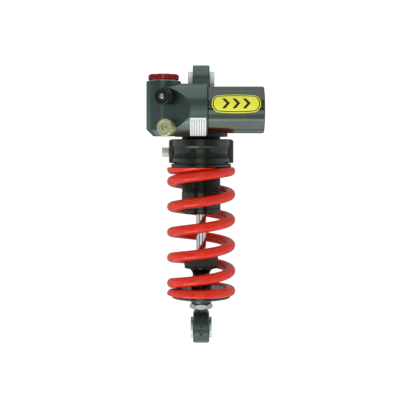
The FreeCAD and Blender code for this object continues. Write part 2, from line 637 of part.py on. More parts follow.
def piston():
    inner = SPIGOT_R + RUN_GAP
    low = PISTON_BOTTOM_Z + 0.8
    high = PISTON_TOP_Z - 0.8
    blank = turned([(inner, PISTON_BOTTOM_Z), (PISTON_LAND_R - 0.5, PISTON_BOTTOM_Z), (PISTON_LAND_R, low),
                    (PISTON_R, low), (PISTON_R, high), (PISTON_LAND_R, high),
                    (PISTON_LAND_R - 0.5, PISTON_TOP_Z), (inner, PISTON_TOP_Z)])
    band_groove = bush(PISTON_R + 1, BAND_IN_R, BAND_LOW_Z, BAND_HIGH_Z)
    port = Part.makeCylinder(PORT_R, 20, Vector(PORT_CIRCLE_R, 0, PISTON_BOTTOM_Z - 2))
    return blank.cut([band_groove] + around_z(port, 6))


def shim_stack(start, direction):
    """Thin spring-steel discs that get smaller away from the piston."""
    stack = []
    for step in range(SHIM_COUNT):
        low = start + direction * SHIM_SPACING * step
        high = low + direction * SHIM_THICKNESS
        radius = SHIM_R - SHIM_STEP_R * step
        stack.append(bush(radius, SPIGOT_R + RUN_GAP, min(low, high), max(low, high)))
    return Part.makeCompound(stack)


def piston_nut():
    nut = prism(6, PISTON_NUT_ACROSS_FLATS, PISTON_TOP_Z + 2.1, PISTON_NUT_TOP_Z)
    return nut.cut(rod(SPIGOT_R + RUN_GAP, -115, -100))


BUMP_TOP_Z = -205.0
BUMP_BOTTOM_Z = -220.2
BUMP_R = 20.3
CUP_RIM_R = 20.0
CUP_RIM_BOTTOM_Z = -222.6
CUP_WAIST_R = 10.3
CUP_WAIST_Z = -230.4            # where the flared flank ends and the straight waist begins
CUP_FOOT_R = 12.2
CUP_FOOT_Z = -238.0


def bump_stop():
    """Microcellular rubber ring with rounded rims, around the rod."""
    bore = ROD_R + 0.15
    return turned([(bore, BUMP_TOP_Z), (BUMP_R - 1.8, BUMP_TOP_Z), (BUMP_R - 0.5, BUMP_TOP_Z - 0.5),
                   (BUMP_R, BUMP_TOP_Z - 1.8), (BUMP_R, BUMP_BOTTOM_Z + 0.9),
                   (BUMP_R - 0.7, BUMP_BOTTOM_Z), (bore, BUMP_BOTTOM_Z)])


ADAPTER_R = 9.5
ADAPTER_TOP_Z = -240.0
ADAPTER_COLLAR_R = 12.6         # collar under the lower spring seat
ADAPTER_COLLAR_TOP_Z = -261.9
SHANK_TOP_Z = -256.6            # top of the lower eye's threaded shank, inside the adapter
SEAT_TOP_Z = -246.0
SEAT_RIM_BOTTOM_Z = -258.3
FLARE_STEPS = 12


def bump_stop_cup():
    """Trumpet-shaped carrier that stands on the lower spring seat and holds the bump stop up."""
    top = BUMP_BOTTOM_Z - 0.02
    points = [(ROD_R + 0.05, top), (CUP_RIM_R - 0.5, top), (CUP_RIM_R, top - 0.5),
              (CUP_RIM_R, CUP_RIM_BOTTOM_Z)]
    flare_height = CUP_RIM_BOTTOM_Z - CUP_WAIST_Z
    for step in range(1, FLARE_STEPS + 1):
        angle = math.radians(90.0 * step / FLARE_STEPS)
        points.append((CUP_RIM_R - (CUP_RIM_R - CUP_WAIST_R) * math.sin(angle),
                       CUP_WAIST_Z + flare_height * math.cos(angle)))
    points += [(CUP_WAIST_R, CUP_FOOT_Z + 3.0), (CUP_FOOT_R, CUP_FOOT_Z), (CUP_FOOT_R, SEAT_TOP_Z + 0.02),
               (ADAPTER_R + 0.02, SEAT_TOP_Z + 0.02), (ADAPTER_R + 0.02, ADAPTER_TOP_Z + 0.1),
               (ROD_R + 0.05, ADAPTER_TOP_Z + 0.1)]
    return turned(points)


def rod_end_adapter():
    """The turned end piece that joins the rod, the spring seat and the lower eye."""
    blank = turned([(0, ADAPTER_BOTTOM_Z), (ADAPTER_COLLAR_R - 1.2, ADAPTER_BOTTOM_Z),
                    (ADAPTER_COLLAR_R - 0.6, ADAPTER_BOTTOM_Z + 0.6),
                    (ADAPTER_COLLAR_R, ADAPTER_COLLAR_TOP_Z), (ADAPTER_R, ADAPTER_COLLAR_TOP_Z),
                    (ADAPTER_R, ADAPTER_TOP_Z), (0, ADAPTER_TOP_Z)])
    rod_hole = rod(ROD_R + 0.02, ROD_BOTTOM_Z - 0.2, ADAPTER_TOP_Z + 1)
    eye_hole = rod(SHANK_R + RUN_GAP, ADAPTER_BOTTOM_Z - 1, ROD_BOTTOM_Z - 0.6)
    return blank.cut([rod_hole, eye_hole])


def lower_spring_seat():
    spigot_r = 28.0
    return turned([(ADAPTER_R + 0.02, SEAT_TOP_Z), (spigot_r - 1.0, SEAT_TOP_Z),
                   (spigot_r, SEAT_TOP_Z - 1.0), (spigot_r, SPRING_BOTTOM_Z - 0.02),
                   (SEAT_RIM_R, SPRING_BOTTOM_Z - 0.02),
                   (SEAT_RIM_R, SEAT_RIM_BOTTOM_Z + 0.8), (SEAT_RIM_R - 0.8, SEAT_RIM_BOTTOM_Z),
                   (28.0, -259.6), (18.0, -261.3), (14.0, -261.8), (ADAPTER_R + 0.02, -261.8)])


# --- spring and its preload ---------------------------------------------------------------
ACTIVE_PITCH = 29.95
END_FLAT_DEG = 280.0            # the closed coil lies almost level this far back from its tip
END_RAMP_DEG = 100.0            # then its pitch grows to the full pitch over this angle
END_DEPTH = 4.2                 # depth of the wire's centre below the ground face, once level
END_RISE = 9.5
TIP_DEG = 8.0
TOP_TIP_DEG = -58.0             # direction of the upper tip, seen from above
BOTTOM_TIP_DEG = 102.0
STEPS_PER_TURN = 20
SEAT_BOTTOM_Z = -102.2
WASHER_R = 32.0


def end_coil_depth(angle):
    """Distance of the wire's centre from the ground face, at an angle back from the tip."""
    if angle <= END_FLAT_DEG:
        return END_DEPTH - END_RISE * (1 - angle / END_FLAT_DEG) ** 3
    past = angle - END_FLAT_DEG
    slope = ACTIVE_PITCH / 360.0
    if past <= END_RAMP_DEG:
        return END_DEPTH + slope * past * past / (2 * END_RAMP_DEG)
    return END_DEPTH + slope * (past - END_RAMP_DEG / 2)


def spring_turns():
    """Degrees of wire between the two tips, from the height and the directions of the tips."""
    height = SPRING_TOP_Z - SPRING_BOTTOM_Z
    level = END_FLAT_DEG + END_RAMP_DEG / 2
    active = (height - 2 * END_DEPTH) / ACTIVE_PITCH * 360.0
    wanted = active + 2 * level
    offset = (TOP_TIP_DEG - BOTTOM_TIP_DEG) % 360.0
    return offset + 360.0 * round((wanted - offset) / 360.0)


def spring_height(angle, total):
    """Height of the wire's centre, scaled in the middle so that both ends meet their seats."""
    half = total / 2
    height = SPRING_TOP_Z - SPRING_BOTTOM_Z
    stretch = (height - 2 * END_DEPTH) / (2 * (end_coil_depth(half) - END_DEPTH))
    low_side = angle <= half
    depth = end_coil_depth(angle if low_side else total - angle)
    if depth > END_DEPTH:
        depth = END_DEPTH + (depth - END_DEPTH) * stretch
    return SPRING_BOTTOM_Z + depth if low_side else SPRING_TOP_Z - depth


def main_spring():
    total = spring_turns()
    start = TIP_DEG
    end = total - TIP_DEG
    steps = int((end - start) / 360.0 * STEPS_PER_TURN)
    points = []
    for step in range(steps + 1):
        angle = start + (end - start) * step / steps
        heading = math.radians(BOTTOM_TIP_DEG + angle)
        points.append(Vector(SPRING_MEAN_R * math.cos(heading), SPRING_MEAN_R * math.sin(heading),
                             spring_height(angle, total)))
    curve = Part.BSplineCurve()
    curve.interpolate(points)
    path = Part.Wire([curve.toShape()])
    section = Part.Wire([Part.makeCircle(SPRING_WIRE_R, points[0], curve.tangent(curve.FirstParameter)[0])])
    shell = Part.BRepOffsetAPI.MakePipeShell(path)
    shell.setFrenetMode(True)
    shell.add(section)
    shell.build()
    shell.makeSolid()
    wire = shell.shape()
    slab = Part.makeBox(100, 100, SPRING_TOP_Z - SPRING_BOTTOM_Z, Vector(-50, -50, SPRING_BOTTOM_Z))
    return wire.common(slab)


def upper_spring_seat():
    bore = BODY_R + FREE_GAP
    return turned([(bore, SEAT_BOTTOM_Z - 7), (27.4, SEAT_BOTTOM_Z - 7), (28.4, SEAT_BOTTOM_Z - 6),
                   (28.4, SEAT_BOTTOM_Z + 0.02), (35.2, SEAT_BOTTOM_Z + 0.02), (36.0, SEAT_BOTTOM_Z + 0.8),
                   (36.0, UPPER_SEAT_TOP_Z - 1.4), (34.8, UPPER_SEAT_TOP_Z - 0.4), (33.0, UPPER_SEAT_TOP_Z),
                   (bore, UPPER_SEAT_TOP_Z)])


def thrust_washer():
    return bush(WASHER_R, BODY_R + FREE_GAP, WASHER_BOTTOM_Z, RING_BOTTOM_Z - 0.03)


RING_EDGE = 0.9                 # chamfer of the preload ring's rims
RING_BEAD = 0.25                # its two rims stand out by this much from the waist's edges
LUG_HALF = 9.0
LUG_TOP_Z = -69.6
LUG_BOTTOM_Z = -97.1
WAIST_STEPS = 10


def waist_points():
    """The hollow flank of the preload ring as an arc through its two edges and its narrowest place."""
    half = (RING_WAIST_TOP_Z - RING_WAIST_BOTTOM_Z) / 2
    depth = RING_R - RING_WAIST_R
    arc_r = (half * half + depth * depth) / (2 * depth)
    middle_z = (RING_WAIST_TOP_Z + RING_WAIST_BOTTOM_Z) / 2
    reach = math.asin(half / arc_r)
    points = []
    for step in range(WAIST_STEPS + 1):
        angle = reach * (1 - 2 * step / WAIST_STEPS)
        points.append((RING_WAIST_R + arc_r * (1 - math.cos(angle)), middle_z + arc_r * math.sin(angle)))
    return points


def ring_half_section(bore):
    rim = RING_R + RING_BEAD
    points = [(bore, RING_TOP_Z), (rim - RING_EDGE, RING_TOP_Z), (rim, RING_TOP_Z - RING_EDGE),
              (rim, RING_WAIST_TOP_Z + 0.2)]
    points += waist_points()
    points += [(rim, RING_WAIST_BOTTOM_Z - 0.2), (rim, RING_BOTTOM_Z + RING_EDGE),
               (rim - RING_EDGE, RING_BOTTOM_Z), (bore, RING_BOTTOM_Z)]
    return points


def preload_ring():
    """Waisted ring nut with two straight lugs; the left one takes the lock screw."""
    ring = turned(ring_half_section(BODY_R + RUN_GAP))
    clear_of_seat = WASHER_R + 1.2
    lug_ring = turned([(30.0, RING_BOTTOM_Z), (clear_of_seat, RING_BOTTOM_Z), (clear_of_seat, LUG_BOTTOM_Z),
                       (RING_LUG_R - RING_EDGE, LUG_BOTTOM_Z), (RING_LUG_R, LUG_BOTTOM_Z + RING_EDGE),
                       (RING_LUG_R, LUG_TOP_Z - RING_EDGE), (RING_LUG_R - RING_EDGE, LUG_TOP_Z),
                       (30.0, LUG_TOP_Z)])
    lugs = lug_ring.common(Part.makeBox(100, 2 * LUG_HALF, 60, Vector(-50, -LUG_HALF, LUG_BOTTOM_Z - 1)))
    ring = ring.fuse(lugs).removeSplitter()
    screw_way = Part.makeCylinder(LOCK_THREAD_R + 0.02, 30, Vector(-50, 0, LOCK_Z), X_AXIS)
    return ring.cut([screw_way])


def preload_lock_screw():
    """Socket cap screw that clamps the ring: its tip presses a soft pad on the thread."""
    depth = LOCK_HEAD_IN - LOCK_HEAD_OUT
    shank = LOCK_TIP - LOCK_HEAD_IN
    top = shank + depth
    screw = turned([(0, 0), (LOCK_THREAD_R, 0), (LOCK_THREAD_R, shank), (LOCK_HEAD_R, shank),
                    (LOCK_HEAD_R, top - 0.5), (LOCK_HEAD_R - 0.5, top), (0, top)])
    screw = screw.cut(prism(6, 5.0, top - 3.5, top + 1))
    return laid(screw, Vector(LOCK_TIP, 0, LOCK_Z), X_AXIS * -1)


def preload_lock_pad():
    pad = Part.makeCylinder(LOCK_THREAD_R - 0.05, 2.2, Vector(LOCK_TIP + 0.02, 0, LOCK_Z), X_AXIS)
    return pad.cut(rod(BODY_R + RUN_GAP, -100, -70))


# --- lower end ----------------------------------------------------------------------------
def ride_height_nut():
    nut = prism(6, NUT_ACROSS_FLATS, NUT_BOTTOM_Z, NUT_TOP_Z)
    corner_r = NUT_ACROSS_FLATS / math.sqrt(3)
    bevel = turned([(0, NUT_BOTTOM_Z), (11.7, NUT_BOTTOM_Z), (corner_r, NUT_BOTTOM_Z + 1.6),
                    (corner_r, NUT_TOP_Z - 1.6), (11.7, NUT_TOP_Z), (0, NUT_TOP_Z)])
    return nut.common(bevel).cut(rod(SHANK_R + RUN_GAP, -280, -260))


def lower_eye_body():
    """The eye with a neck that leans in, tangent to the eye, up to a flat under the shank."""
    lean = math.radians(EYE_TAPER)
    start = Vector(-EYE_HALF_LOWER, 0, -EYE_TO_EYE)
    eye = Part.makeCylinder(EYE_R_LOWER, 2 * EYE_HALF_LOWER, start, X_AXIS)
    wide = EYE_R_LOWER * math.cos(lean)
    shoulder_z = -EYE_TO_EYE + EYE_R_LOWER * math.sin(lean)
    narrow = wide - (EYE_NECK_TOP_Z - shoulder_z) * math.tan(lean)
    corners = [(-wide, shoulder_z), (-narrow, EYE_NECK_TOP_Z), (narrow, EYE_NECK_TOP_Z), (wide, shoulder_z),
               (0, -EYE_TO_EYE)]
    outline = [Vector(-EYE_HALF_LOWER, y, z) for y, z in corners]
    neck = Part.Face(Part.makePolygon(outline + [outline[0]])).extrude(X_AXIS * 2 * EYE_HALF_LOWER)
    body = eye.fuse(neck).removeSplitter()
    rims = [edge for edge in body.Edges if abs(abs(edge.CenterOfMass.x) - EYE_HALF_LOWER) < 0.01]
    return body.makeChamfer(EYE_EDGE_LOWER, rims)


def lower_eye():
    centre = Vector(0, 0, -EYE_TO_EYE)
    eye = lower_eye_body()
    inside_eye = -EYE_TO_EYE + 9
    shank = turned([(0, inside_eye), (SHANK_R, inside_eye), (SHANK_R, SHANK_TOP_Z - 0.8),
                    (SHANK_R - 0.8, SHANK_TOP_Z), (0, SHANK_TOP_Z)])
    solid = eye.fuse(shank)
    bore = Part.makeCylinder(RACE_R + RUN_GAP, 60, Vector(-30, 0, -EYE_TO_EYE), X_AXIS)
    cuts = [bore]
    for side in (-1, 1):
        groove = circlip_groove(side)
        groove.translate(centre)
        cuts.append(groove)
    forward = forward_below(GRUB_ANGLE)
    cuts.append(Part.makeCylinder(GRUB_R + 0.02, 20, centre + forward * (RACE_R - 0.5), forward))
    upward = forward_below(PUNCH_ANGLE)
    cuts.append(Part.makeSphere(PUNCH_R, centre + upward * (EYE_R_LOWER + 0.4)))
    return solid.cut(cuts)


def race_grub_screw():
    screw = turned([(0, 0), (GRUB_R, 0), (GRUB_R, 3.6), (GRUB_R - 0.4, 4.0), (0, 4.0)])
    screw = screw.cut(prism(6, 2.0, 2.2, 5))
    forward = forward_below(GRUB_ANGLE)
    start = Vector(0, 0, -EYE_TO_EYE) + forward * (RACE_R + 0.3)
    return laid(screw, start, forward)


def main():
    os.makedirs("parts", exist_ok=True)
    save_bearing("upper", EYE_HALF_UPPER, SPACER_END_UPPER, 0.0)
    save_bearing("lower", EYE_HALF_LOWER, SPACER_END_LOWER, -EYE_TO_EYE)
    low_screw = knob_screw(10.85, 12.6, 2.7)
    rebound_screw = knob_screw(12.25, 14.9, 2.9)
    nodes = {
        "head_casting": head_casting(),
        "reservoir_tube": reservoir_tube(),
        "reservoir_end_cap": reservoir_end_cap(),
        "end_cap_o_ring": end_cap_o_ring(),
        "end_cap_circlip": end_cap_circlip(),
        "reservoir_o_ring": reservoir_o_ring(),
        "gas_valve": gas_valve(),
        "gas_valve_cap": gas_valve_cap(),
        "gas_piston": gas_piston(),
        "gas_piston_seal": gas_piston_seal(),
        "badge_plate": badge_plate(),
        "spec_label": spec_label(),
        "low_speed_knob": on_facet(low_speed_knob(), "low_speed"),
        "low_speed_knob_screw": on_facet(low_screw, "low_speed"),
        "low_speed_needle": on_facet(adjuster_needle(1.2), "low_speed"),
        "rebound_knob": on_facet(rebound_knob(), "rebound"),
        "rebound_knob_screw": on_facet(rebound_screw, "rebound"),
        "rebound_needle": on_facet(adjuster_needle(0.8), "rebound"),
        "high_speed_knob": high_speed_knob(),
        "high_speed_stem": high_speed_stem(),
        "valve_gland": valve_gland(),
        "compression_valve": compression_valve(),
        "damper_tube": damper_tube(),
        "seal_head": seal_head(),
        "rod_bush": bush(BUSH_R, ROD_R + RUN_GAP, BUSH_ROOM_LOW_Z + 0.1, BUSH_ROOM_HIGH_Z - 0.1),
        "rod_seal": rod_seal(),
        "wiper_seal": wiper_seal(),
        "seal_head_o_ring": seal_head_o_ring(),
        "damper_rod": damper_rod(),
        "top_out_rubber": top_out_rubber(),
        "piston": piston(),
        "piston_band": bush(BORE_R - RUN_GAP, BAND_IN_R + 0.05, BAND_LOW_Z + 0.1, BAND_HIGH_Z - 0.1),
        "rebound_shims": shim_stack(PISTON_BOTTOM_Z - 0.02, -1),
        "compression_shims": shim_stack(PISTON_TOP_Z + 0.02, 1),
        "piston_nut": piston_nut(),
        "bump_stop": bump_stop(),
        "bump_stop_cup": bump_stop_cup(),
        "rod_end_adapter": rod_end_adapter(),
        "lower_spring_seat": lower_spring_seat(),
        "main_spring": main_spring(),
        "upper_spring_seat": upper_spring_seat(),
        "thrust_washer": thrust_washer(),
        "preload_ring": preload_ring(),
        "preload_lock_screw": preload_lock_screw(),
        "preload_lock_pad": preload_lock_pad(),
        "ride_height_nut": ride_height_nut(),
        "lower_eye": lower_eye(),
        "race_grub_screw": race_grub_screw(),
    }
    for name, shape in nodes.items():
        save(name, shape)
        problems = [solid for solid in shape.Solids if not solid.isValid()]
        print(name, len(shape.Solids), "solids", round(shape.Volume), "mm3", "BAD" if problems else "")


main()
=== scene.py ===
import json
import math

import bpy
import numpy as np
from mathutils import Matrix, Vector


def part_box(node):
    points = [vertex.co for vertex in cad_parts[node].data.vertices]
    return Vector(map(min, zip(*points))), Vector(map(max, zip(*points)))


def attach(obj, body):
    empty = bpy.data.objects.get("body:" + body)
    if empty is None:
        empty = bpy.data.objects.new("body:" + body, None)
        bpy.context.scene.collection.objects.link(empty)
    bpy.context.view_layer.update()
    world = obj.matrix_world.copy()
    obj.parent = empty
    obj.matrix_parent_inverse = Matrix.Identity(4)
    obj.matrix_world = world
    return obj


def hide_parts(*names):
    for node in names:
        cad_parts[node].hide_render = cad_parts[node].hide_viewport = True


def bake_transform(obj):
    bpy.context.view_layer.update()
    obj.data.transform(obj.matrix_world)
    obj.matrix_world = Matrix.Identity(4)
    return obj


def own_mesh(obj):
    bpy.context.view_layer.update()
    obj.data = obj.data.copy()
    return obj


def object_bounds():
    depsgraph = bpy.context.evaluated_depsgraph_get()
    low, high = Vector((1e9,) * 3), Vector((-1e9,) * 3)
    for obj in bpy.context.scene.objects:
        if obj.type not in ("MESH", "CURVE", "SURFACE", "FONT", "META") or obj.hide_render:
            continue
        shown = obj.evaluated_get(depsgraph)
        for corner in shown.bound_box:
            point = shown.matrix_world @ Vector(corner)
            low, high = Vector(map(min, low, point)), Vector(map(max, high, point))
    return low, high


# Looks of a motorcycle rear shock absorber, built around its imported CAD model. Metres.
# +Z runs up the shock's axis, +X along the eye bolts, and -Y is the reservoir's side.

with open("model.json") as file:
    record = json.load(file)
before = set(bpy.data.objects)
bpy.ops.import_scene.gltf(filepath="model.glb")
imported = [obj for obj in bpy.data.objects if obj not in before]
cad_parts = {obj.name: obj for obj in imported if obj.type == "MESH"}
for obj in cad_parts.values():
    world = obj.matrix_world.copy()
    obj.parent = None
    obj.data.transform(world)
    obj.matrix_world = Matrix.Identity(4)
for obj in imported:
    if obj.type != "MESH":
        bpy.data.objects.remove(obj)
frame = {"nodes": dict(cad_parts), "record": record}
cad_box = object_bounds()
MM = 0.001


# --- mesh helpers ---------------------------------------------------------------------------
def mesh_from(name, verts, faces):
    mesh = bpy.data.meshes.new(name)
    mesh.from_pydata(verts, [], faces)
    mesh.validate()
    piece = bpy.data.objects.new(name, mesh)
    bpy.context.scene.collection.objects.link(piece)
    return piece


def smooth(mesh):
    mesh.polygons.foreach_set("use_smooth", [True] * len(mesh.polygons))


def dress(piece, slot, body=None, smooth_angle=32.0, look=None):
    """Shade a new piece, give it a material, and let it ride on a body.
    Its look is the slot's own material, unless another one is named."""
    mesh = piece.data
    smooth(mesh)
    mesh.set_sharp_from_angle(angle=math.radians(smooth_angle))
    mesh.materials.append(materials[look or slot])
    if body is not None:
        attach(piece, body)
    return piece


def grid_faces(rows, columns, closed_rows=False):
    """Quads between neighbouring rows of vertices, where each row is a ring."""
    faces = []
    last_row = rows if closed_rows else rows - 1
    for row in range(last_row):
        here = row * columns
        above = ((row + 1) % rows) * columns
        for column in range(columns):
            beside = (column + 1) % columns
            faces.append((here + column, here + beside, above + beside, above + column))
    return faces


def rings(outline, sides, radius_at=None):
    """A ring of vertices about Z for each (radius, height); radius_at may vary the radius around it."""
    verts = []
    for radius, height in outline:
        for side in range(sides):
            angle = 2 * math.pi * side / sides
            r = radius_at(radius, angle, height) if radius_at else radius
            verts.append((r * math.cos(angle), r * math.sin(angle), height))
    return verts


def lathe(name, outline, sides, radius_at=None):
    """A closed solid of revolution about Z."""
    verts = rings(outline, sides, radius_at)
    return mesh_from(name, verts, grid_faces(len(outline), sides, closed_rows=True))


def arc(centre, radius, first, last, steps):
    """Points of a circular arc in a half section, between two angles in degrees."""
    points = []
    for step in range(steps + 1):
        angle = math.radians(first + (last - first) * step / steps)
        points.append((centre[0] + radius * math.cos(angle), centre[1] + radius * math.sin(angle)))
    return points


def reservoir_axis():
    low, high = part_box("reservoir_tube")
    return (low.y + high.y) / 2, (low.z + high.z) / 2


def reservoir_radius():
    low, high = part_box("reservoir_tube")
    return (high.y - low.y) / 2


# --- materials ------------------------------------------------------------------------------
class Shader:
    """A small helper that builds one node material around a Principled shader."""

    def __init__(self, name, color, metallic, roughness, **sockets):
        self.material = bpy.data.materials.new(name)
        self.material.use_nodes = True
        self.nodes = self.material.node_tree.nodes
        self.links = self.material.node_tree.links
        self.shader = self.nodes["Principled BSDF"]
        self.shader.inputs["Base Color"].default_value = (*color, 1)
        self.shader.inputs["Metallic"].default_value = metallic
        self.shader.inputs["Roughness"].default_value = roughness
        for socket, value in sockets.items():
            self.shader.inputs[socket.replace("_", " ")].default_value = value
        self.position = self.nodes.new("ShaderNodeTexCoord").outputs["Object"]
        self.normal = None

    def node(self, kind, **settings):
        made = self.nodes.new(kind)
        for name, value in settings.items():
            setattr(made, name, value)
        return made

    def noise(self, scale, detail=3.0, stretch=(1, 1, 1)):
        mapping = self.node("ShaderNodeMapping")
        mapping.inputs["Scale"].default_value = stretch
        self.links.new(self.position, mapping.inputs["Vector"])
        made = self.node("ShaderNodeTexNoise")
        made.inputs["Scale"].default_value = scale
        made.inputs["Detail"].default_value = detail
        self.links.new(mapping.outputs["Vector"], made.inputs["Vector"])
        return made.outputs["Fac"]

    def turning_marks(self, axis, scale):
        """Fine bands that repeat along one axis, as a lathe tool leaves them."""
        made = self.node("ShaderNodeTexWave", wave_type="BANDS", bands_direction=axis)
        made.inputs["Scale"].default_value = scale
        made.inputs["Distortion"].default_value = 0.6
        made.inputs["Detail"].default_value = 2.0
        self.links.new(self.position, made.inputs["Vector"])
        return made.outputs["Fac"]

    def span(self, value, low, high, to_low, to_high):
        made = self.node("ShaderNodeMapRange")
        numbers = {"From Min": low, "From Max": high, "To Min": to_low, "To Max": to_high}
        for socket, number in numbers.items():
            made.inputs[socket].default_value = number
        self.links.new(value, made.inputs["Value"])
        return made.outputs["Result"]

    def mix(self, factor, first, second):
        """A colour between two colours, each of them a tuple or another node's output."""
        made = self.node("ShaderNodeMix", data_type="RGBA")
        self.links.new(factor, made.inputs["Factor"])
        for socket, value in (("A", first), ("B", second)):
            target = next(i for i in made.inputs if i.name == socket and i.type == "RGBA")
            if isinstance(value, tuple):
                target.default_value = (*value, 1)
            else:
                self.links.new(value, target)
        return next(o for o in made.outputs if o.type == "RGBA")

    def calculate(self, operation, first, second=0.0):
        """A sum on a node's output and another output or a number."""
        made = self.node("ShaderNodeMath", operation=operation)
        self.links.new(first, made.inputs[0])
        if isinstance(second, float):
            made.inputs[1].default_value = second
        else:
            self.links.new(second, made.inputs[1])
        return made.outputs["Value"]

    def product(self, first, second):
        return self.calculate("MULTIPLY", first, second)

    def offset_from(self, place):
        offset = self.node("ShaderNodeVectorMath", operation="SUBTRACT")
        self.links.new(self.position, offset.inputs[0])
        offset.inputs[1].default_value = tuple(place)
        return offset.outputs["Vector"]

    def distance_from(self, place, across):
        """Distance from an axis through a place; across is 1 along the two directions that count."""
        flat = self.node("ShaderNodeVectorMath", operation="MULTIPLY")
        self.links.new(self.offset_from(place), flat.inputs[0])
        flat.inputs[1].default_value = across
        made = self.node("ShaderNodeVectorMath", operation="LENGTH")
        self.links.new(flat.outputs["Vector"], made.inputs[0])
        return made.outputs["Value"]

    def paint(self, output):
        self.links.new(output, self.shader.inputs["Base Color"])

    def vary_roughness(self, value, low, high):
        output = self.span(value, 0.3, 0.7, low, high)
        self.links.new(output, self.shader.inputs["Roughness"])

    def round_edges(self, radius):
        """Break machined edges by a small radius, and return how strongly each place is an edge."""
        bevel = self.node("ShaderNodeBevel", samples=4)
        bevel.inputs["Radius"].default_value = radius
        self.normal = bevel.outputs["Normal"]
        self.links.new(self.normal, self.shader.inputs["Normal"])
        flat = self.node("ShaderNodeNewGeometry").outputs["Normal"]
        turn = self.node("ShaderNodeVectorMath", operation="DOT_PRODUCT")
        self.links.new(self.normal, turn.inputs[0])
        self.links.new(flat, turn.inputs[1])
        return self.span(turn.outputs["Value"], 0.97, 0.80, 0.0, 1.0)

    def bump(self, height, distance, strength=1.0):
        made = self.node("ShaderNodeBump")
        made.inputs["Distance"].default_value = distance
        made.inputs["Strength"].default_value = strength
        self.links.new(height, made.inputs["Height"])
        if self.normal is not None:
            self.links.new(self.normal, made.inputs["Normal"])
        self.normal = made.outputs["Normal"]
        self.links.new(self.normal, self.shader.inputs["Normal"])


def shade(color, factor):
    return tuple(min(1.0, factor * channel) for channel in color)


EDGE_RADIUS = 0.3 * MM           # machined edges are broken by this much
MARKS_SCALE = 700.0              # fineness and depth of the tool marks
MARKS_DEPTH = 0.0015 * MM
FOOT_HEIGHT = 5.3 * MM           # round foot of the head
FOOT_R = 32.0 * MM
SHADE_BORDER = 0.1 * MM           # width of the sharp border where the painted shade on the head's foot begins


def anodised(name, color, roughness, axis="Z", foot=None):
    """Hard anodised aluminium: dyed, satin, a little cloudy, rubbed paler on its edges.
    A round foot (a point on its axis, at the height of its top) is painted darker, as painted shade."""
    look = Shader(name, color, 1.0, roughness)
    edge = look.round_edges(EDGE_RADIUS)
    cloud = look.span(look.noise(45.0, 4.0), 0.35, 0.65, 0.0, 1.0)
    dye_and_painted_shade = look.mix(cloud, shade(color, 0.93), shade(color, 1.07))
    rubbed = look.span(look.noise(260.0, 4.0), 0.35, 0.75, 0.0, 0.35)
    if foot is not None:
        height = look.node("ShaderNodeSeparateXYZ")
        look.links.new(look.position, height.inputs["Vector"])
        below = look.span(height.outputs["Z"], foot.z, foot.z + SHADE_BORDER, 1.0, 0.0)
        from_axis = look.distance_from(foot, (1, 1, 0))
        near = look.span(from_axis, FOOT_R, FOOT_R + SHADE_BORDER, 1.0, 0.0)
        # Painted shade: the head's round foot is painted at 0.3 of the dye's brightness.
        dye_and_painted_shade = look.mix(look.product(below, near), dye_and_painted_shade, shade(color, 0.3))
    look.paint(look.mix(look.product(edge, rubbed), dye_and_painted_shade, shade(color, 2.2)))
    look.vary_roughness(look.noise(150.0, 5.0), roughness - 0.025, roughness + 0.03)
    look.bump(look.turning_marks(axis, MARKS_SCALE), MARKS_DEPTH, 0.35)
    look.bump(look.noise(2200.0, 2.0), MARKS_DEPTH, 0.4)
    return look.material


def black_anodised(name, roughness):
    """Black anodised aluminium: the sealed oxide shines like a dark lacquer, greyer on rubbed edges."""
    color = (0.0070, 0.0085, 0.0065)
    look = Shader(name, color, 0.0, roughness, IOR=1.58, Specular_Tint=(0.88, 1.0, 0.90, 1))
    edge = look.round_edges(EDGE_RADIUS)
    rubbed = look.span(look.noise(260.0, 4.0), 0.35, 0.75, 0.0, 0.5)
    look.paint(look.mix(look.product(edge, rubbed), color, (0.10, 0.105, 0.10)))
    look.vary_roughness(look.noise(150.0, 5.0), roughness - 0.03, roughness + 0.04)
    look.bump(look.turning_marks("Z", MARKS_SCALE), MARKS_DEPTH, 0.35)
    return look.material


TUBE_GROOVES = 6
GROOVE_FLOOR = 0.35 * MM         # a groove is painted dark below this depth, as painted shade, and bright above its rim's
GROOVE_RIM = 0.12 * MM
GROOVE_SHADE_REACH = 0.85 * MM         # the painted shade reaches this far to each side of a groove's middle
POLISHED_MARKS_DEPTH = 0.001 * MM


def polished_tube(name, color, roughness):
    """Polished reservoir tube: bright outside; rougher in its grooves and along their rims, which are
    painted dark as painted shade.
    """
    look = Shader(name, color, 1.0, roughness)
    look.round_edges(0.5 * EDGE_RADIUS)
    outer_r = reservoir_radius()
    to_local = frame["nodes"]["reservoir_tube"].matrix_world.inverted()
    axis = to_local @ Vector((0, *reservoir_axis()))
    distance = look.distance_from(axis, (0, 1, 1))
    above_floor = look.span(distance, outer_r - GROOVE_FLOOR, outer_r - GROOVE_RIM, 0.0, 1.0)
    around = look.node("ShaderNodeSeparateXYZ")
    look.links.new(look.offset_from(axis), around.inputs["Vector"])
    turn = look.calculate("ARCTAN2", around.outputs["Z"], around.outputs["Y"])
    count = look.calculate("MULTIPLY", turn, TUBE_GROOVES / (2 * math.pi))
    aside = look.calculate("ABSOLUTE", look.calculate("SUBTRACT", count, look.calculate("ROUND", count)))
    shaded_share = GROOVE_SHADE_REACH * TUBE_GROOVES / (2 * math.pi * outer_r)
    outside = look.product(above_floor, look.span(aside, 0.8 * shaded_share, shaded_share, 0.0, 1.0))
    cloud = look.span(look.noise(45.0, 4.0), 0.35, 0.65, 0.0, 1.0)
    polished = look.mix(cloud, shade(color, 0.95), shade(color, 1.05))
    # Painted shade: the grooves and their rims are painted at 0.06 of the tube's colour.
    look.paint(look.mix(outside, shade(color, 0.06), polished))
    look.links.new(look.span(outside, 0.0, 1.0, 0.7, roughness), look.shader.inputs["Roughness"])
    look.bump(look.turning_marks("X", MARKS_SCALE), POLISHED_MARKS_DEPTH, 0.15)
    return look.material


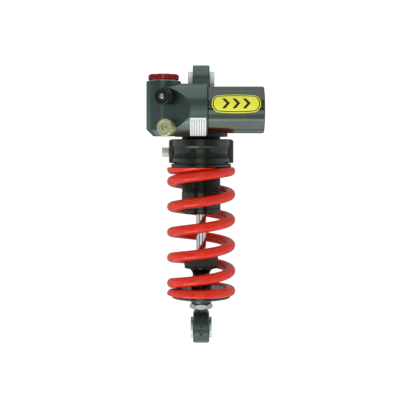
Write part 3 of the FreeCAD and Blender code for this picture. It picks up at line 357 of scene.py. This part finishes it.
def bare_metal(name, color, roughness, axis="Z", marks=0.4, metallic=1.0):
    """Ground, turned or plated metal: fine tool marks and slight clouding. Blasted metal is
    less metallic."""
    look = Shader(name, color, metallic, roughness)
    look.round_edges(0.5 * EDGE_RADIUS)
    cloud = look.span(look.noise(90.0, 4.0), 0.35, 0.65, 0.0, 1.0)
    look.paint(look.mix(cloud, shade(color, 0.90), color))
    look.vary_roughness(look.noise(300.0, 4.0), roughness - 0.04, roughness + 0.05)
    if marks:
        look.bump(look.turning_marks(axis, 900.0), MARKS_DEPTH, marks)
    return look.material


def hard_chrome():
    color = (0.74, 0.76, 0.76)
    look = Shader("hard_chrome", color, 1.0, 0.06)
    cloud = look.span(look.noise(30.0, 3.0), 0.35, 0.65, 0.0, 1.0)
    look.paint(look.mix(cloud, shade(color, 0.94), color))
    look.vary_roughness(look.noise(50.0, 4.0, (1, 1, 0.1)), 0.04, 0.09)
    look.bump(look.noise(2500.0, 2.0, (1, 1, 0.06)), 0.0008 * MM, 0.3)
    return look.material


def powder_coat():
    """Glossy orange-red powder coat with slight orange peel."""
    bright = (0.60, 0.018, 0.0035)
    look = Shader("red_powder_coat", bright, 0.0, 0.40, Specular_IOR_Level=0.1,
                  Coat_Weight=0.7, Coat_Roughness=0.06, Coat_IOR=1.5)
    cloud = look.span(look.noise(25.0, 4.0), 0.35, 0.65, 0.0, 1.0)
    look.paint(look.mix(cloud, shade(bright, 0.90), bright))
    look.vary_roughness(look.noise(120.0, 3.0), 0.35, 0.45)
    look.bump(look.noise(420.0, 2.0), 0.01 * MM, 0.35)
    return look.material


def rubber(name, color, roughness=0.62):
    look = Shader(name, color, 0.0, roughness, Specular_IOR_Level=0.35)
    cloud = look.span(look.noise(70.0, 5.0), 0.4, 0.7, 0.0, 1.0)
    look.paint(look.mix(cloud, color, shade(color, 1.5)))
    look.vary_roughness(look.noise(400.0, 4.0), roughness - 0.07, roughness + 0.08)
    look.bump(look.noise(1300.0, 3.0), 0.02 * MM, 0.45)
    return look.material


def plastic(name, color, roughness, coat=0.0):
    look = Shader(name, color, 0.0, roughness, Coat_Weight=coat, Coat_Roughness=0.08)
    cloud = look.span(look.noise(45.0, 3.0), 0.3, 0.7, 0.0, 1.0)
    look.paint(look.mix(cloud, color, shade(color, 0.93)))
    look.bump(look.noise(900.0, 2.0), 0.005 * MM, 0.4)
    return look.material


GREY = (0.118, 0.170, 0.158)


def head_foot():
    """The middle of the top of the head's round foot, in the head's own coordinates."""
    top = Vector((0, 0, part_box("head_casting")[0].z + FOOT_HEIGHT))
    return frame["nodes"]["head_casting"].matrix_world.inverted() @ top


def make_materials():
    return {
        "grey_anodised": anodised("grey_anodised", GREY, 0.30, "X"),
        "grey_polished": polished_tube("grey_polished", (0.118, 0.152, 0.132), 0.15),
        # grey_head paints shade on the head's round foot.
        "grey_head": anodised("grey_head", GREY, 0.30, "X", foot=head_foot()),
        # Painted shade: a darker copy of the grey anodising for the lower seat, lower eye and rod end
        # adapter.
        "grey_painted_shade": anodised("grey_painted_shade", shade(GREY, 0.62), 0.26, "X"),
        "black_anodised": black_anodised("black_anodised", 0.20),
        "black_gloss": black_anodised("black_gloss", 0.09),
        "red_anodised": anodised("red_anodised", (0.50, 0.060, 0.055), 0.20),
        "gold_anodised": anodised("gold_anodised", (0.72, 0.76, 0.42), 0.42),
        "plain_aluminium": bare_metal("plain_aluminium", (0.78, 0.86, 0.81), 0.30),
        "satin_steel": bare_metal("satin_steel", (0.70, 0.79, 0.71), 0.27),
        "spacer_steel": bare_metal("spacer_steel", (0.80, 0.88, 0.84), 0.42, "X", 0.2, metallic=0.55),
        "lower_spacer_steel": bare_metal("lower_spacer_steel", (0.66, 0.74, 0.68), 0.30, "X", 0.2),
        "nut_steel": bare_metal("nut_steel", (0.60, 0.67, 0.60), 0.30),
        "bolt_steel": bare_metal("bolt_steel", (0.60, 0.64, 0.54), 0.50, metallic=0.45),
        "bearing_steel": bare_metal("bearing_steel", (0.56, 0.60, 0.58), 0.20, "X", 0.0),
        "dark_steel": bare_metal("dark_steel", (0.14, 0.15, 0.15), 0.38),
        "hard_chrome": hard_chrome(),
        "red_powder_coat": powder_coat(),
        "nitrile_rubber": rubber("nitrile_rubber", (0.016, 0.016, 0.016)),
        "bump_rubber": rubber("bump_rubber", (0.030, 0.027, 0.020), 0.6),
        "black_plastic": plastic("black_plastic", (0.016, 0.016, 0.014), 0.45),
        "bronze_bush": bare_metal("bronze_bush", (0.42, 0.30, 0.16), 0.45),
        "brass_fitting": bare_metal("brass_fitting", (0.80, 0.62, 0.28), 0.25, "X"),
        "yellow_badge": plastic("yellow_badge", (0.72, 0.72, 0.035), 0.28, 0.5),
        "printing_ink": plastic("printing_ink", (0.012, 0.013, 0.009), 0.30),
        "paper_label": plastic("paper_label", (0.68, 0.72, 0.71), 0.42),
        "label_ink": plastic("label_ink", (0.16, 0.165, 0.165), 0.50),
        "gloss_plastic": plastic("gloss_plastic", (0.0075, 0.0070, 0.0055), 0.16),
    }


# CAD nodes that look different from the rest of their slot. The darker grey anodising of the lower seat,
# lower eye and rod end adapter is painted shade.
NODE_LOOKS = {"head_casting": "grey_head", "reservoir_tube": "grey_polished",
              "lower_spring_seat": "grey_painted_shade", "lower_eye": "grey_painted_shade",
              "rod_end_adapter": "grey_painted_shade",
              "seal_head": "black_gloss", "bump_stop_cup": "gloss_plastic",
              "upper_bearing_spacers": "spacer_steel", "lower_bearing_spacers": "lower_spacer_steel",
              "ride_height_nut": "nut_steel", "preload_lock_screw": "bolt_steel"}


def dress_cad_nodes():
    for row in frame["record"]["subparts"]:
        mesh = frame["nodes"][row["node"]].data
        mesh.materials.clear()
        mesh.materials.append(materials[NODE_LOOKS.get(row["node"], row["material_slot"])])


# --- main spring ----------------------------------------------------------------------------
WIRE_R = 5.9 * MM
WIRE_SIDES = 40
WIRE_STEPS_PER_TURN = 72
ACTIVE_PITCH = 29.95 * MM
END_FLAT_DEG = 280.0             # the closed coil lies almost level this far back from its tip
END_RAMP_DEG = 100.0
END_DEPTH = 4.2 * MM             # depth of the wire's centre below the ground face, once level
END_RISE = 9.5 * MM              # the tip comes up by this much, to be ground away
TIP_DEG = 8.0                    # grinding shortens the wire by this much at each end
TOP_TIP_DEG = -58.0              # headings of the two tips around the shock's axis
BOTTOM_TIP_DEG = 102.0
DEAD_DEG = 380.0                 # this much wire at each end never moves on its seat
EASE_DEG = 160.0                 # past it the wire takes up the movement gently


def end_coil_depth(angle):
    """Distance of the wire's centre from the ground face, at an angle back from the tip."""
    if angle <= END_FLAT_DEG:
        return END_DEPTH - END_RISE * (1 - angle / END_FLAT_DEG) ** 3
    past = angle - END_FLAT_DEG
    slope = ACTIVE_PITCH / 360.0
    if past <= END_RAMP_DEG:
        return END_DEPTH + slope * past * past / (2 * END_RAMP_DEG)
    return END_DEPTH + slope * (past - END_RAMP_DEG / 2)


def spring_turns(height):
    """Degrees of wire between the two tips."""
    level = END_FLAT_DEG + END_RAMP_DEG / 2
    wanted = (height - 2 * END_DEPTH) / ACTIVE_PITCH * 360.0 + 2 * level
    offset = (TOP_TIP_DEG - BOTTOM_TIP_DEG) % 360.0
    return offset + 360.0 * round((wanted - offset) / 360.0)


def wire_centre(angle, total, low, high, mean_r):
    height = high - low
    stretch = (height - 2 * END_DEPTH) / (2 * (end_coil_depth(total / 2) - END_DEPTH))
    low_side = angle <= total / 2
    depth = end_coil_depth(angle if low_side else total - angle)
    if depth > END_DEPTH:
        depth = END_DEPTH + (depth - END_DEPTH) * stretch
    z = low + depth if low_side else high - depth
    heading = math.radians(BOTTOM_TIP_DEG + angle)
    return Vector((mean_r * math.cos(heading), mean_r * math.sin(heading), z))


def share_of_stroke(angle, total):
    """How far the wire at an angle from the top tip follows the lower seat: 0 at the top, 1 below."""
    span = total - 2 * DEAD_DEG
    whole = span - EASE_DEG
    past = angle - DEAD_DEG
    if past <= 0:
        return 0.0
    if past >= span:
        return 1.0
    if past < EASE_DEG:
        return past ** 2 / (2 * EASE_DEG * whole)
    if past > span - EASE_DEG:
        return 1.0 - (span - past) ** 2 / (2 * EASE_DEG * whole)
    return (past - EASE_DEG / 2) / whole


def coil_spring():
    """The swept wire with both ends ground flat, whose coils close up as the two seats come together."""
    low_corner, high_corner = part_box("main_spring")
    low, high = low_corner.z, high_corner.z
    mean_r = (high_corner.x - low_corner.x) / 2 - WIRE_R
    total = spring_turns(high - low)
    steps = int((total - 2 * TIP_DEG) / 360.0 * WIRE_STEPS_PER_TURN)
    angles = [TIP_DEG + (total - 2 * TIP_DEG) * step / steps for step in range(steps + 1)]
    verts = []
    shares = []
    for angle in angles:
        centre = wire_centre(angle, total, low, high, mean_r)
        ahead = wire_centre(min(angle + 1, total), total, low, high, mean_r)
        behind = wire_centre(max(angle - 1, 0), total, low, high, mean_r)
        tangent = (ahead - behind).normalized()
        outward = Vector((centre.x, centre.y, 0)).normalized()
        upward = tangent.cross(outward).normalized()
        outward = upward.cross(tangent)
        share = share_of_stroke(total - angle, total)
        for side in range(WIRE_SIDES):
            turn = 2 * math.pi * side / WIRE_SIDES
            point = centre + WIRE_R * (math.cos(turn) * outward + math.sin(turn) * upward)
            point.z = min(high, max(low, point.z))
            verts.append(point)
            shares.append(share)
    faces = grid_faces(len(angles), WIRE_SIDES)
    last = (len(angles) - 1) * WIRE_SIDES
    faces.append(tuple(range(WIRE_SIDES)))
    faces.append(tuple(reversed(range(last, last + WIRE_SIDES))))
    spring = dress(mesh_from("coil_spring", verts, faces), "red_powder_coat")
    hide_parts("main_spring")
    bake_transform(spring)
    # Every section of the wire moves as one, so the wire stays round as the coils close up.
    follow_upper_seat(spring, shares, high)


def follow_upper_seat(spring, shares, high):
    """The preload ring pushes the upper seat down; the coils follow it, most at the top."""
    group = spring.vertex_groups.new(name="near_upper_seat")
    for index, share in enumerate(shares):
        group.add([index], 1.0 - share, "REPLACE")
    hook_point = bpy.data.objects.new("spring_top", None)
    bpy.context.scene.collection.objects.link(hook_point)
    hook_point.location = (0, 0, high)
    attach(hook_point, "upper_seat")
    bpy.context.view_layer.update()
    hook = spring.modifiers.new("preload", "HOOK")
    hook.object = hook_point
    hook.vertex_group = group.name
    hook.falloff_type = "NONE"
    hook.matrix_inverse = hook_point.matrix_world.inverted()


# --- bump stop ------------------------------------------------------------------------------
BUMP_SOFT_TOP = 1.6 * MM         # radii of its outer edges
BUMP_SOFT_FOOT = 0.9 * MM
BUMP_RIM = 0.4 * MM              # chamfer at its bore
BUMP_BARREL = 0.12 * MM          # its flank stands out by this much in the middle


def bump_stop():
    """The rubber ring: moulded with slightly barrelled flanks and soft rims."""
    low_corner, high_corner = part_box("bump_stop")
    low, high = low_corner.z, high_corner.z
    outer = high_corner.x
    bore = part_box("damper_rod")[1].x + 0.15 * MM
    outline = [(bore, high - BUMP_RIM), (bore + BUMP_RIM, high)]
    outline += arc((outer - BUMP_SOFT_TOP, high - BUMP_SOFT_TOP), BUMP_SOFT_TOP, 90, 8, 6)
    outline += [(outer - BUMP_BARREL, high - 4.0 * MM), (outer, (low + high) / 2),
                (outer - BUMP_BARREL, low + 3.0 * MM)]
    outline += arc((outer - BUMP_SOFT_FOOT, low + BUMP_SOFT_FOOT), BUMP_SOFT_FOOT, -8, -90, 5)
    outline += [(bore + BUMP_RIM, low), (bore, low + BUMP_RIM)]
    piece = dress(lathe("bump_stop_rubber", outline, 96), "bump_rubber", "rod_assembly", 40.0)
    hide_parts("bump_stop")
    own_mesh(piece)


# --- damper body ----------------------------------------------------------------------------
THREAD_PITCH = 1.5 * MM
THREAD_DEPTH = 0.75 * MM
THREAD_RAMP = 0.28               # share of the pitch that each flank takes
THREAD_ROOT = 0.168              # share of the pitch that the flat root takes
THREAD_RUN_OUT = 1.2 * MM
ROWS_PER_PITCH = 10
BODY_WALL = 5.4 * MM
BODY_CHAMFER = 0.4 * MM
SEAL_WALL = 3.7 * MM             # wall around the seal head's thread
SEAL_DEPTH = 11.7 * MM
PLAIN_LENGTH = 18.6 * MM         # smooth lower end of the body
INTO_HEAD = 3.0 * MM             # the thread is drawn this far into the head


def thread_shape(phase):
    """Height of a trapezoidal thread between root (0) and crest (1)."""
    rising = phase / THREAD_RAMP
    falling = (1.0 - THREAD_ROOT - phase) / THREAD_RAMP
    return max(0.0, min(1.0, rising, falling))


def damper_body():
    """The damper body with a true helical thread for the preload ring."""
    low_corner, high_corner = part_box("damper_tube")
    low, high = low_corner.z, high_corner.z
    outer = high_corner.x
    bore = outer - BODY_WALL
    seal_bore = outer - SEAL_WALL
    seal_top = low + SEAL_DEPTH
    thread_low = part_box("damper_tube")[0].z + PLAIN_LENGTH
    thread_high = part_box("head_casting")[0].z + INTO_HEAD

    def with_thread(radius, angle, height):
        if radius < outer - MM or not thread_low < height <= thread_high:
            return radius
        phase = (height / THREAD_PITCH - angle / (2 * math.pi)) % 1.0
        fade = min(1.0, (height - thread_low) / THREAD_RUN_OUT)
        return outer - THREAD_DEPTH * (1.0 - thread_shape(phase)) * fade

    rows = int((thread_high - thread_low) / THREAD_PITCH * ROWS_PER_PITCH)
    root = outer - THREAD_DEPTH
    outline = [(bore, high), (root, high), (root, thread_high + 0.1 * MM)]
    for row in range(rows + 1):
        outline.append((outer, thread_high + (thread_low - thread_high) * row / rows))
    plain_top = thread_low - 0.3 * MM
    for step in range(5):
        outline.append((outer, plain_top + (low + 0.8 * MM - plain_top) * step / 4))
    outline += [(outer, low + BODY_CHAMFER), (outer - BODY_CHAMFER, low), (seal_bore, low),
                (seal_bore, seal_top), (bore, seal_top)]
    piece = lathe("damper_body", outline, 96, with_thread)
    dress(piece, "black_anodised", "head_and_damper", 50.0, "black_gloss")
    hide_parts("damper_tube")


# --- badge and label ------------------------------------------------------------------------
class Wrap:
    """Places (u, v, lift) on the drum around the reservoir's axis: u along X, v around it, upward."""

    def __init__(self, node, drum_r):
        low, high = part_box(node)
        self.axis_y, self.axis_z = reservoir_axis()
        self.drum_r = drum_r
        self.middle_x = (low.x + high.x) / 2
        self.half_u = (high.x - low.x) / 2
        reach = []
        for z in (low.z, high.z):
            reach.append(math.asin(max(-1.0, min(1.0, (z - self.axis_z) / drum_r))))
        self.middle_angle = sum(reach) / 2
        self.half_v = drum_r * (reach[1] - reach[0]) / 2

    def place(self, u, v, lift):
        angle = self.middle_angle + v / self.drum_r
        r = self.drum_r + lift
        return (self.middle_x + u, self.axis_y - r * math.cos(angle), self.axis_z + r * math.sin(angle))


def stadium_point(half_u, half_v, share, turn):
    """A place on a stadium: share 0 is its middle line and 1 its edge; turn runs once around it."""
    straight = half_u - half_v
    direction = 2 * math.pi * turn
    middle = straight * max(-1.0, min(1.0, 2.2 * math.cos(direction)))
    return middle + share * half_v * math.cos(direction), share * half_v * math.sin(direction)


BADGE_POINTS = 120
BADGE_FOOT = 0.02 * MM           # heights over the tube: of its foot, its rim, and the dome on that
BADGE_RIM = 0.35 * MM
BADGE_DOME = 0.55 * MM
BADGE_SHARES = [0.0, 0.15, 0.3, 0.45, 0.6, 0.7, 0.8, 0.87, 0.92, 0.96, 0.985, 1.0]
RIM_LINE_SHARES = [0.80, 0.83, 0.86, 0.90]
INK_LIFT = 0.03 * MM
CHEVRON_SPACING = 0.42           # share of the badge's half length
CHEVRON_HEIGHT = 0.52            # share of its half height
CHEVRON_TIP = 4.4 * MM
CHEVRON_TAIL = -0.8 * MM
CHEVRON_THICKNESS = 3.8 * MM


def badge_lift(share):
    """Height of the badge's cast resin dome over the reservoir."""
    return BADGE_RIM + BADGE_DOME * (1.0 - share ** 2) ** 0.5


def stadium_sheet(name, wrap, shares, lifts):
    """A closed patch of rings from the middle line outward; the last ring lies on the drum."""
    verts = []
    for share, lift in zip(shares, lifts):
        for point in range(BADGE_POINTS):
            u, v = stadium_point(wrap.half_u, wrap.half_v, share, point / BADGE_POINTS)
            verts.append(wrap.place(u, v, lift))
    return mesh_from(name, verts, grid_faces(len(shares), BADGE_POINTS))


def box_patch(wrap, corners, lift, steps, verts, faces):
    """A thin printed patch between four (u, v) corners, divided to follow the drum."""
    start = len(verts)
    (u0, v0), (u1, v1), (u2, v2), (u3, v3) = corners
    for step in range(steps + 1):
        share = step / steps
        left = (u0 + (u3 - u0) * share, v0 + (v3 - v0) * share)
        right = (u1 + (u2 - u1) * share, v1 + (v2 - v1) * share)
        for u, v in (left, right):
            verts.append(wrap.place(u, v, lift(u, v)))
    for step in range(steps):
        first = start + 2 * step
        faces.append((first, first + 1, first + 3, first + 2))


def badge():
    """A plain domed oblong badge with a dark rim line and three plain chevrons."""
    wrap = Wrap("badge_plate", reservoir_radius())
    lifts = [badge_lift(share) for share in BADGE_SHARES] + [BADGE_FOOT]
    dome = stadium_sheet("badge_dome", wrap, BADGE_SHARES + [1.0], lifts)
    plate = dress(dome, "yellow_badge", "head_and_damper", 60.0)
    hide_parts("badge_plate")
    rim_lifts = [badge_lift(share) + INK_LIFT for share in RIM_LINE_SHARES]
    rim = stadium_sheet("badge_rim_line", wrap, RIM_LINE_SHARES, rim_lifts)
    dress(rim, "black_plastic", "head_and_damper", 60.0, "printing_ink")

    def over_dome(u, v):
        return badge_lift(min(0.99, abs(v) / wrap.half_v)) + INK_LIFT

    verts = []
    faces = []
    tall = CHEVRON_HEIGHT * wrap.half_v
    for count in range(-1, 2):
        middle = count * CHEVRON_SPACING * wrap.half_u
        tip = middle + CHEVRON_TIP
        tail = middle + CHEVRON_TAIL
        for side in (-1, 1):
            corners = [(tip, 0.0), (tip - CHEVRON_THICKNESS, 0.0),
                       (tail - CHEVRON_THICKNESS, side * tall), (tail, side * tall)]
            box_patch(wrap, corners, over_dome, 10, verts, faces)
    chevrons = mesh_from("badge_chevrons", verts, faces)
    dress(chevrons, "black_plastic", "head_and_damper", 60.0, "printing_ink")


LABEL_STEPS = 24
LABEL_BACK = 0.01 * MM           # heights over the head: of its back, its face, and the print
LABEL_FACE = 0.12 * MM
LABEL_PRINT = 0.14 * MM
LABEL_COLUMNS = 6
LABEL_SPREAD = 0.75              # the outer columns stand at this share of its half width
LABEL_TOP = 0.86                 # the columns reach this share of its half height
LABEL_DASHES = [0.32, 0.48, 0.20, 0.40]
LABEL_GAP = 0.05
LABEL_SHORTEST = 0.06            # a dash begins only where there is room for this much
LABEL_DASH_HALF = 0.36 * MM


def label():
    """A paper label with columns of plain dashes instead of writing."""
    wrap = Wrap("spec_label", reservoir_axis()[0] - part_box("head_casting")[0].y)
    verts = []
    outline = [(-wrap.half_u, LABEL_BACK), (-wrap.half_u, LABEL_FACE),
               (wrap.half_u, LABEL_FACE), (wrap.half_u, LABEL_BACK)]
    for step in range(LABEL_STEPS + 1):
        v = wrap.half_v * (2 * step / LABEL_STEPS - 1)
        verts += [wrap.place(u, v, lift) for u, lift in outline]
    faces = grid_faces(LABEL_STEPS + 1, 4)
    faces += [(0, 1, 2, 3), tuple(4 * LABEL_STEPS + corner for corner in (3, 2, 1, 0))]
    paper = dress(mesh_from("label_paper", verts, faces), "paper_label", "head_and_damper", 30.0)
    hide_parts("spec_label")

    def over_paper(u, v):
        return LABEL_PRINT

    verts = []
    faces = []
    half = LABEL_DASH_HALF
    for column in range(LABEL_COLUMNS):
        u = LABEL_SPREAD * wrap.half_u * (2 * column / (LABEL_COLUMNS - 1) - 1)
        start = LABEL_TOP
        dash = column
        while start > LABEL_SHORTEST - LABEL_TOP:
            end = max(-LABEL_TOP, start - LABEL_DASHES[dash % len(LABEL_DASHES)])
            corners = [(u - half, start * wrap.half_v), (u + half, start * wrap.half_v),
                       (u + half, end * wrap.half_v), (u - half, end * wrap.half_v)]
            box_patch(wrap, corners, over_paper, 4, verts, faces)
            start = end - LABEL_GAP
            dash += 1
    dress(mesh_from("label_dashes", verts, faces), "black_plastic", "head_and_damper", 60.0, "label_ink")


materials = make_materials()
dress_cad_nodes()
coil_spring()
bump_stop()
damper_body()
badge()
label()


# --- camera, light and stage ----------------------------------------------------------------
CAMERA_DISTANCE = 1.20
CAMERA_HEIGHT = -0.083
VIEW_WIDTH = 0.480               # what the camera sees across, at the shock's axis
FRAME_CENTRE = (-0.0014, -0.1415)    # X and Z in the middle of the view


def make_camera():
    camera = bpy.data.objects.new("camera", bpy.data.cameras.new("camera"))
    bpy.context.scene.collection.objects.link(camera)
    camera.location = (FRAME_CENTRE[0], -CAMERA_DISTANCE, CAMERA_HEIGHT)
    camera.rotation_euler = (math.radians(90), 0, 0)
    camera.data.sensor_width = 36.0
    camera.data.lens = camera.data.sensor_width * CAMERA_DISTANCE / VIEW_WIDTH
    camera.data.shift_y = (FRAME_CENTRE[1] - CAMERA_HEIGHT) / VIEW_WIDTH
    bpy.context.scene.camera = camera


def area_light(name, place, target, width, height, power, color):
    light = bpy.data.lights.new(name, "AREA")
    light.shape = "RECTANGLE"
    light.size = width
    light.size_y = height
    light.energy = power
    light.color = color
    made = bpy.data.objects.new(name, light)
    bpy.context.scene.collection.objects.link(made)
    made.location = place
    made.rotation_euler = (Vector(target) - Vector(place)).to_track_quat("-Z", "Y").to_euler()


def glowing(name, strength):
    material = bpy.data.materials.new(name)
    material.use_nodes = True
    nodes = material.node_tree.nodes
    nodes.remove(nodes["Principled BSDF"])
    glow = nodes.new("ShaderNodeEmission")
    glow.inputs["Strength"].default_value = strength
    material.node_tree.links.new(glow.outputs["Emission"], nodes["Material Output"].inputs["Surface"])
    return material


SCREEN_R = 1.05
CARD_STEP_DEG = 5
# Rows of the screen: from and to a height, and its strips from left to right. A strip is the azimuth
# in degrees (0 is the front) at which it ends, and how bright it is.
SCREEN_START = -180
SCREEN_ROWS = [(-1.06, -0.45, [(-125, 0.30), (-42, 0.62), (-20, 0.10), (10, 0.55), (34, 0.10), (125, 0.62),
                               (180, 0.30)]),
               (-0.45, -0.13, [(-125, 0.30), (-42, 0.62), (-20, 0.10), (10, 1.15), (34, 0.10), (125, 0.62),
                               (180, 0.30)]),
               (-0.13, -0.02, [(-125, 0.35), (-62, 1.10), (-46, 0.30), (-20, 0.13), (10, 0.62), (46, 0.13),
                               (62, 0.34), (125, 1.10), (180, 0.35)]),
               (-0.02, 0.25, [(-125, 0.30), (-62, 0.28), (-46, 0.20), (-20, 0.15), (10, 0.60), (46, 0.15),
                              (62, 0.22), (125, 0.30), (180, 0.30)]),
               (0.25, 1.15, [(-125, 0.30), (-62, 0.26), (-20, 0.16), (10, 0.34), (46, 0.16), (125, 0.28),
                             (180, 0.30)])]


def screen_card(name, first, last, low, high, strength):
    steps = max(2, int((last - first) / CARD_STEP_DEG))
    verts = []
    for step in range(steps + 1):
        azimuth = math.radians(first + (last - first) * step / steps)
        x, y = SCREEN_R * math.sin(azimuth), -SCREEN_R * math.cos(azimuth)
        verts += [(x, y, low), (x, y, high)]
    card = mesh_from(name, verts, [(2 * i, 2 * i + 2, 2 * i + 3, 2 * i + 1) for i in range(steps)])
    card.data.materials.append(glowing(name, strength))
    card.visible_camera = False
    card.visible_diffuse = False
    card.visible_shadow = False
    card.visible_transmission = False


def make_screen():
    """Grey cards all around that only reflections see, as flags stand around a product shot."""
    for row, (low, high, strips) in enumerate(SCREEN_ROWS):
        first = SCREEN_START
        for strip, (last, strength) in enumerate(strips):
            screen_card(f"card_{row}_{strip}", first, last, low, high, strength)
            first = last


WORLD_STRENGTH = 0.8
LIT_PLACE = (0, 0, -0.14)        # the lights face the middle of the shock


def make_lights():
    """A warm thin strip and a wide soft light, both from low in front, in a white world."""
    area_light("low_strip", (-0.10, -0.62, -0.83), LIT_PLACE, 1.0, 0.05, 0.35, (1.0, 0.80, 0.62))
    area_light("low_fill", (-0.45, -0.55, -0.95), LIT_PLACE, 0.7, 0.5, 3.0, (1.0, 0.97, 0.94))
    world = bpy.data.worlds.new("studio")
    world.use_nodes = True
    world.node_tree.nodes["Background"].inputs["Color"].default_value = (1, 1, 1, 1)
    world.node_tree.nodes["Background"].inputs["Strength"].default_value = WORLD_STRENGTH
    bpy.context.scene.world = world
    bpy.context.scene.view_settings.view_transform = "Standard"


STAGE_SIDES = 96
HUB_R = 0.02                     # one flat face closes the floor inside this radius
FLAT_R = 0.8
WALL_R = 2.6
WALL_HEIGHT = 4.5
CURVE_R = 1.0                    # the floor curves up into the wall with this radius
CURVE_STEPS = 16
FLOOR_DROP = 0.80
STAGE_GLOW = 0.58


def make_stage():
    """A plain white round floor, well below the hanging shock, that curves up into a wall all around."""
    floor_z = cad_box[0][2] - FLOOR_DROP
    curve_start = WALL_R - CURVE_R
    profile = [(HUB_R, floor_z), (FLAT_R, floor_z)]
    for step in range(CURVE_STEPS + 1):
        angle = math.radians(90.0 * step / CURVE_STEPS)
        rise = CURVE_R * (1 - math.cos(angle))
        profile.append((curve_start + CURVE_R * math.sin(angle), floor_z + rise))
    profile.append((WALL_R, floor_z + WALL_HEIGHT))
    verts = rings(profile, STAGE_SIDES)
    faces = grid_faces(len(profile), STAGE_SIDES)
    faces.append(tuple(reversed(range(STAGE_SIDES))))
    stage = mesh_from("stage", verts, faces)
    smooth(stage.data)
    white = Shader("stage_white", (0.5, 0.5, 0.5), 0.0, 0.9, Emission_Color=(1, 1, 1, 1),
                   Emission_Strength=STAGE_GLOW, Specular_IOR_Level=0.0)
    stage.data.materials.append(white.material)


make_stage()
make_screen()
make_lights()
make_camera()
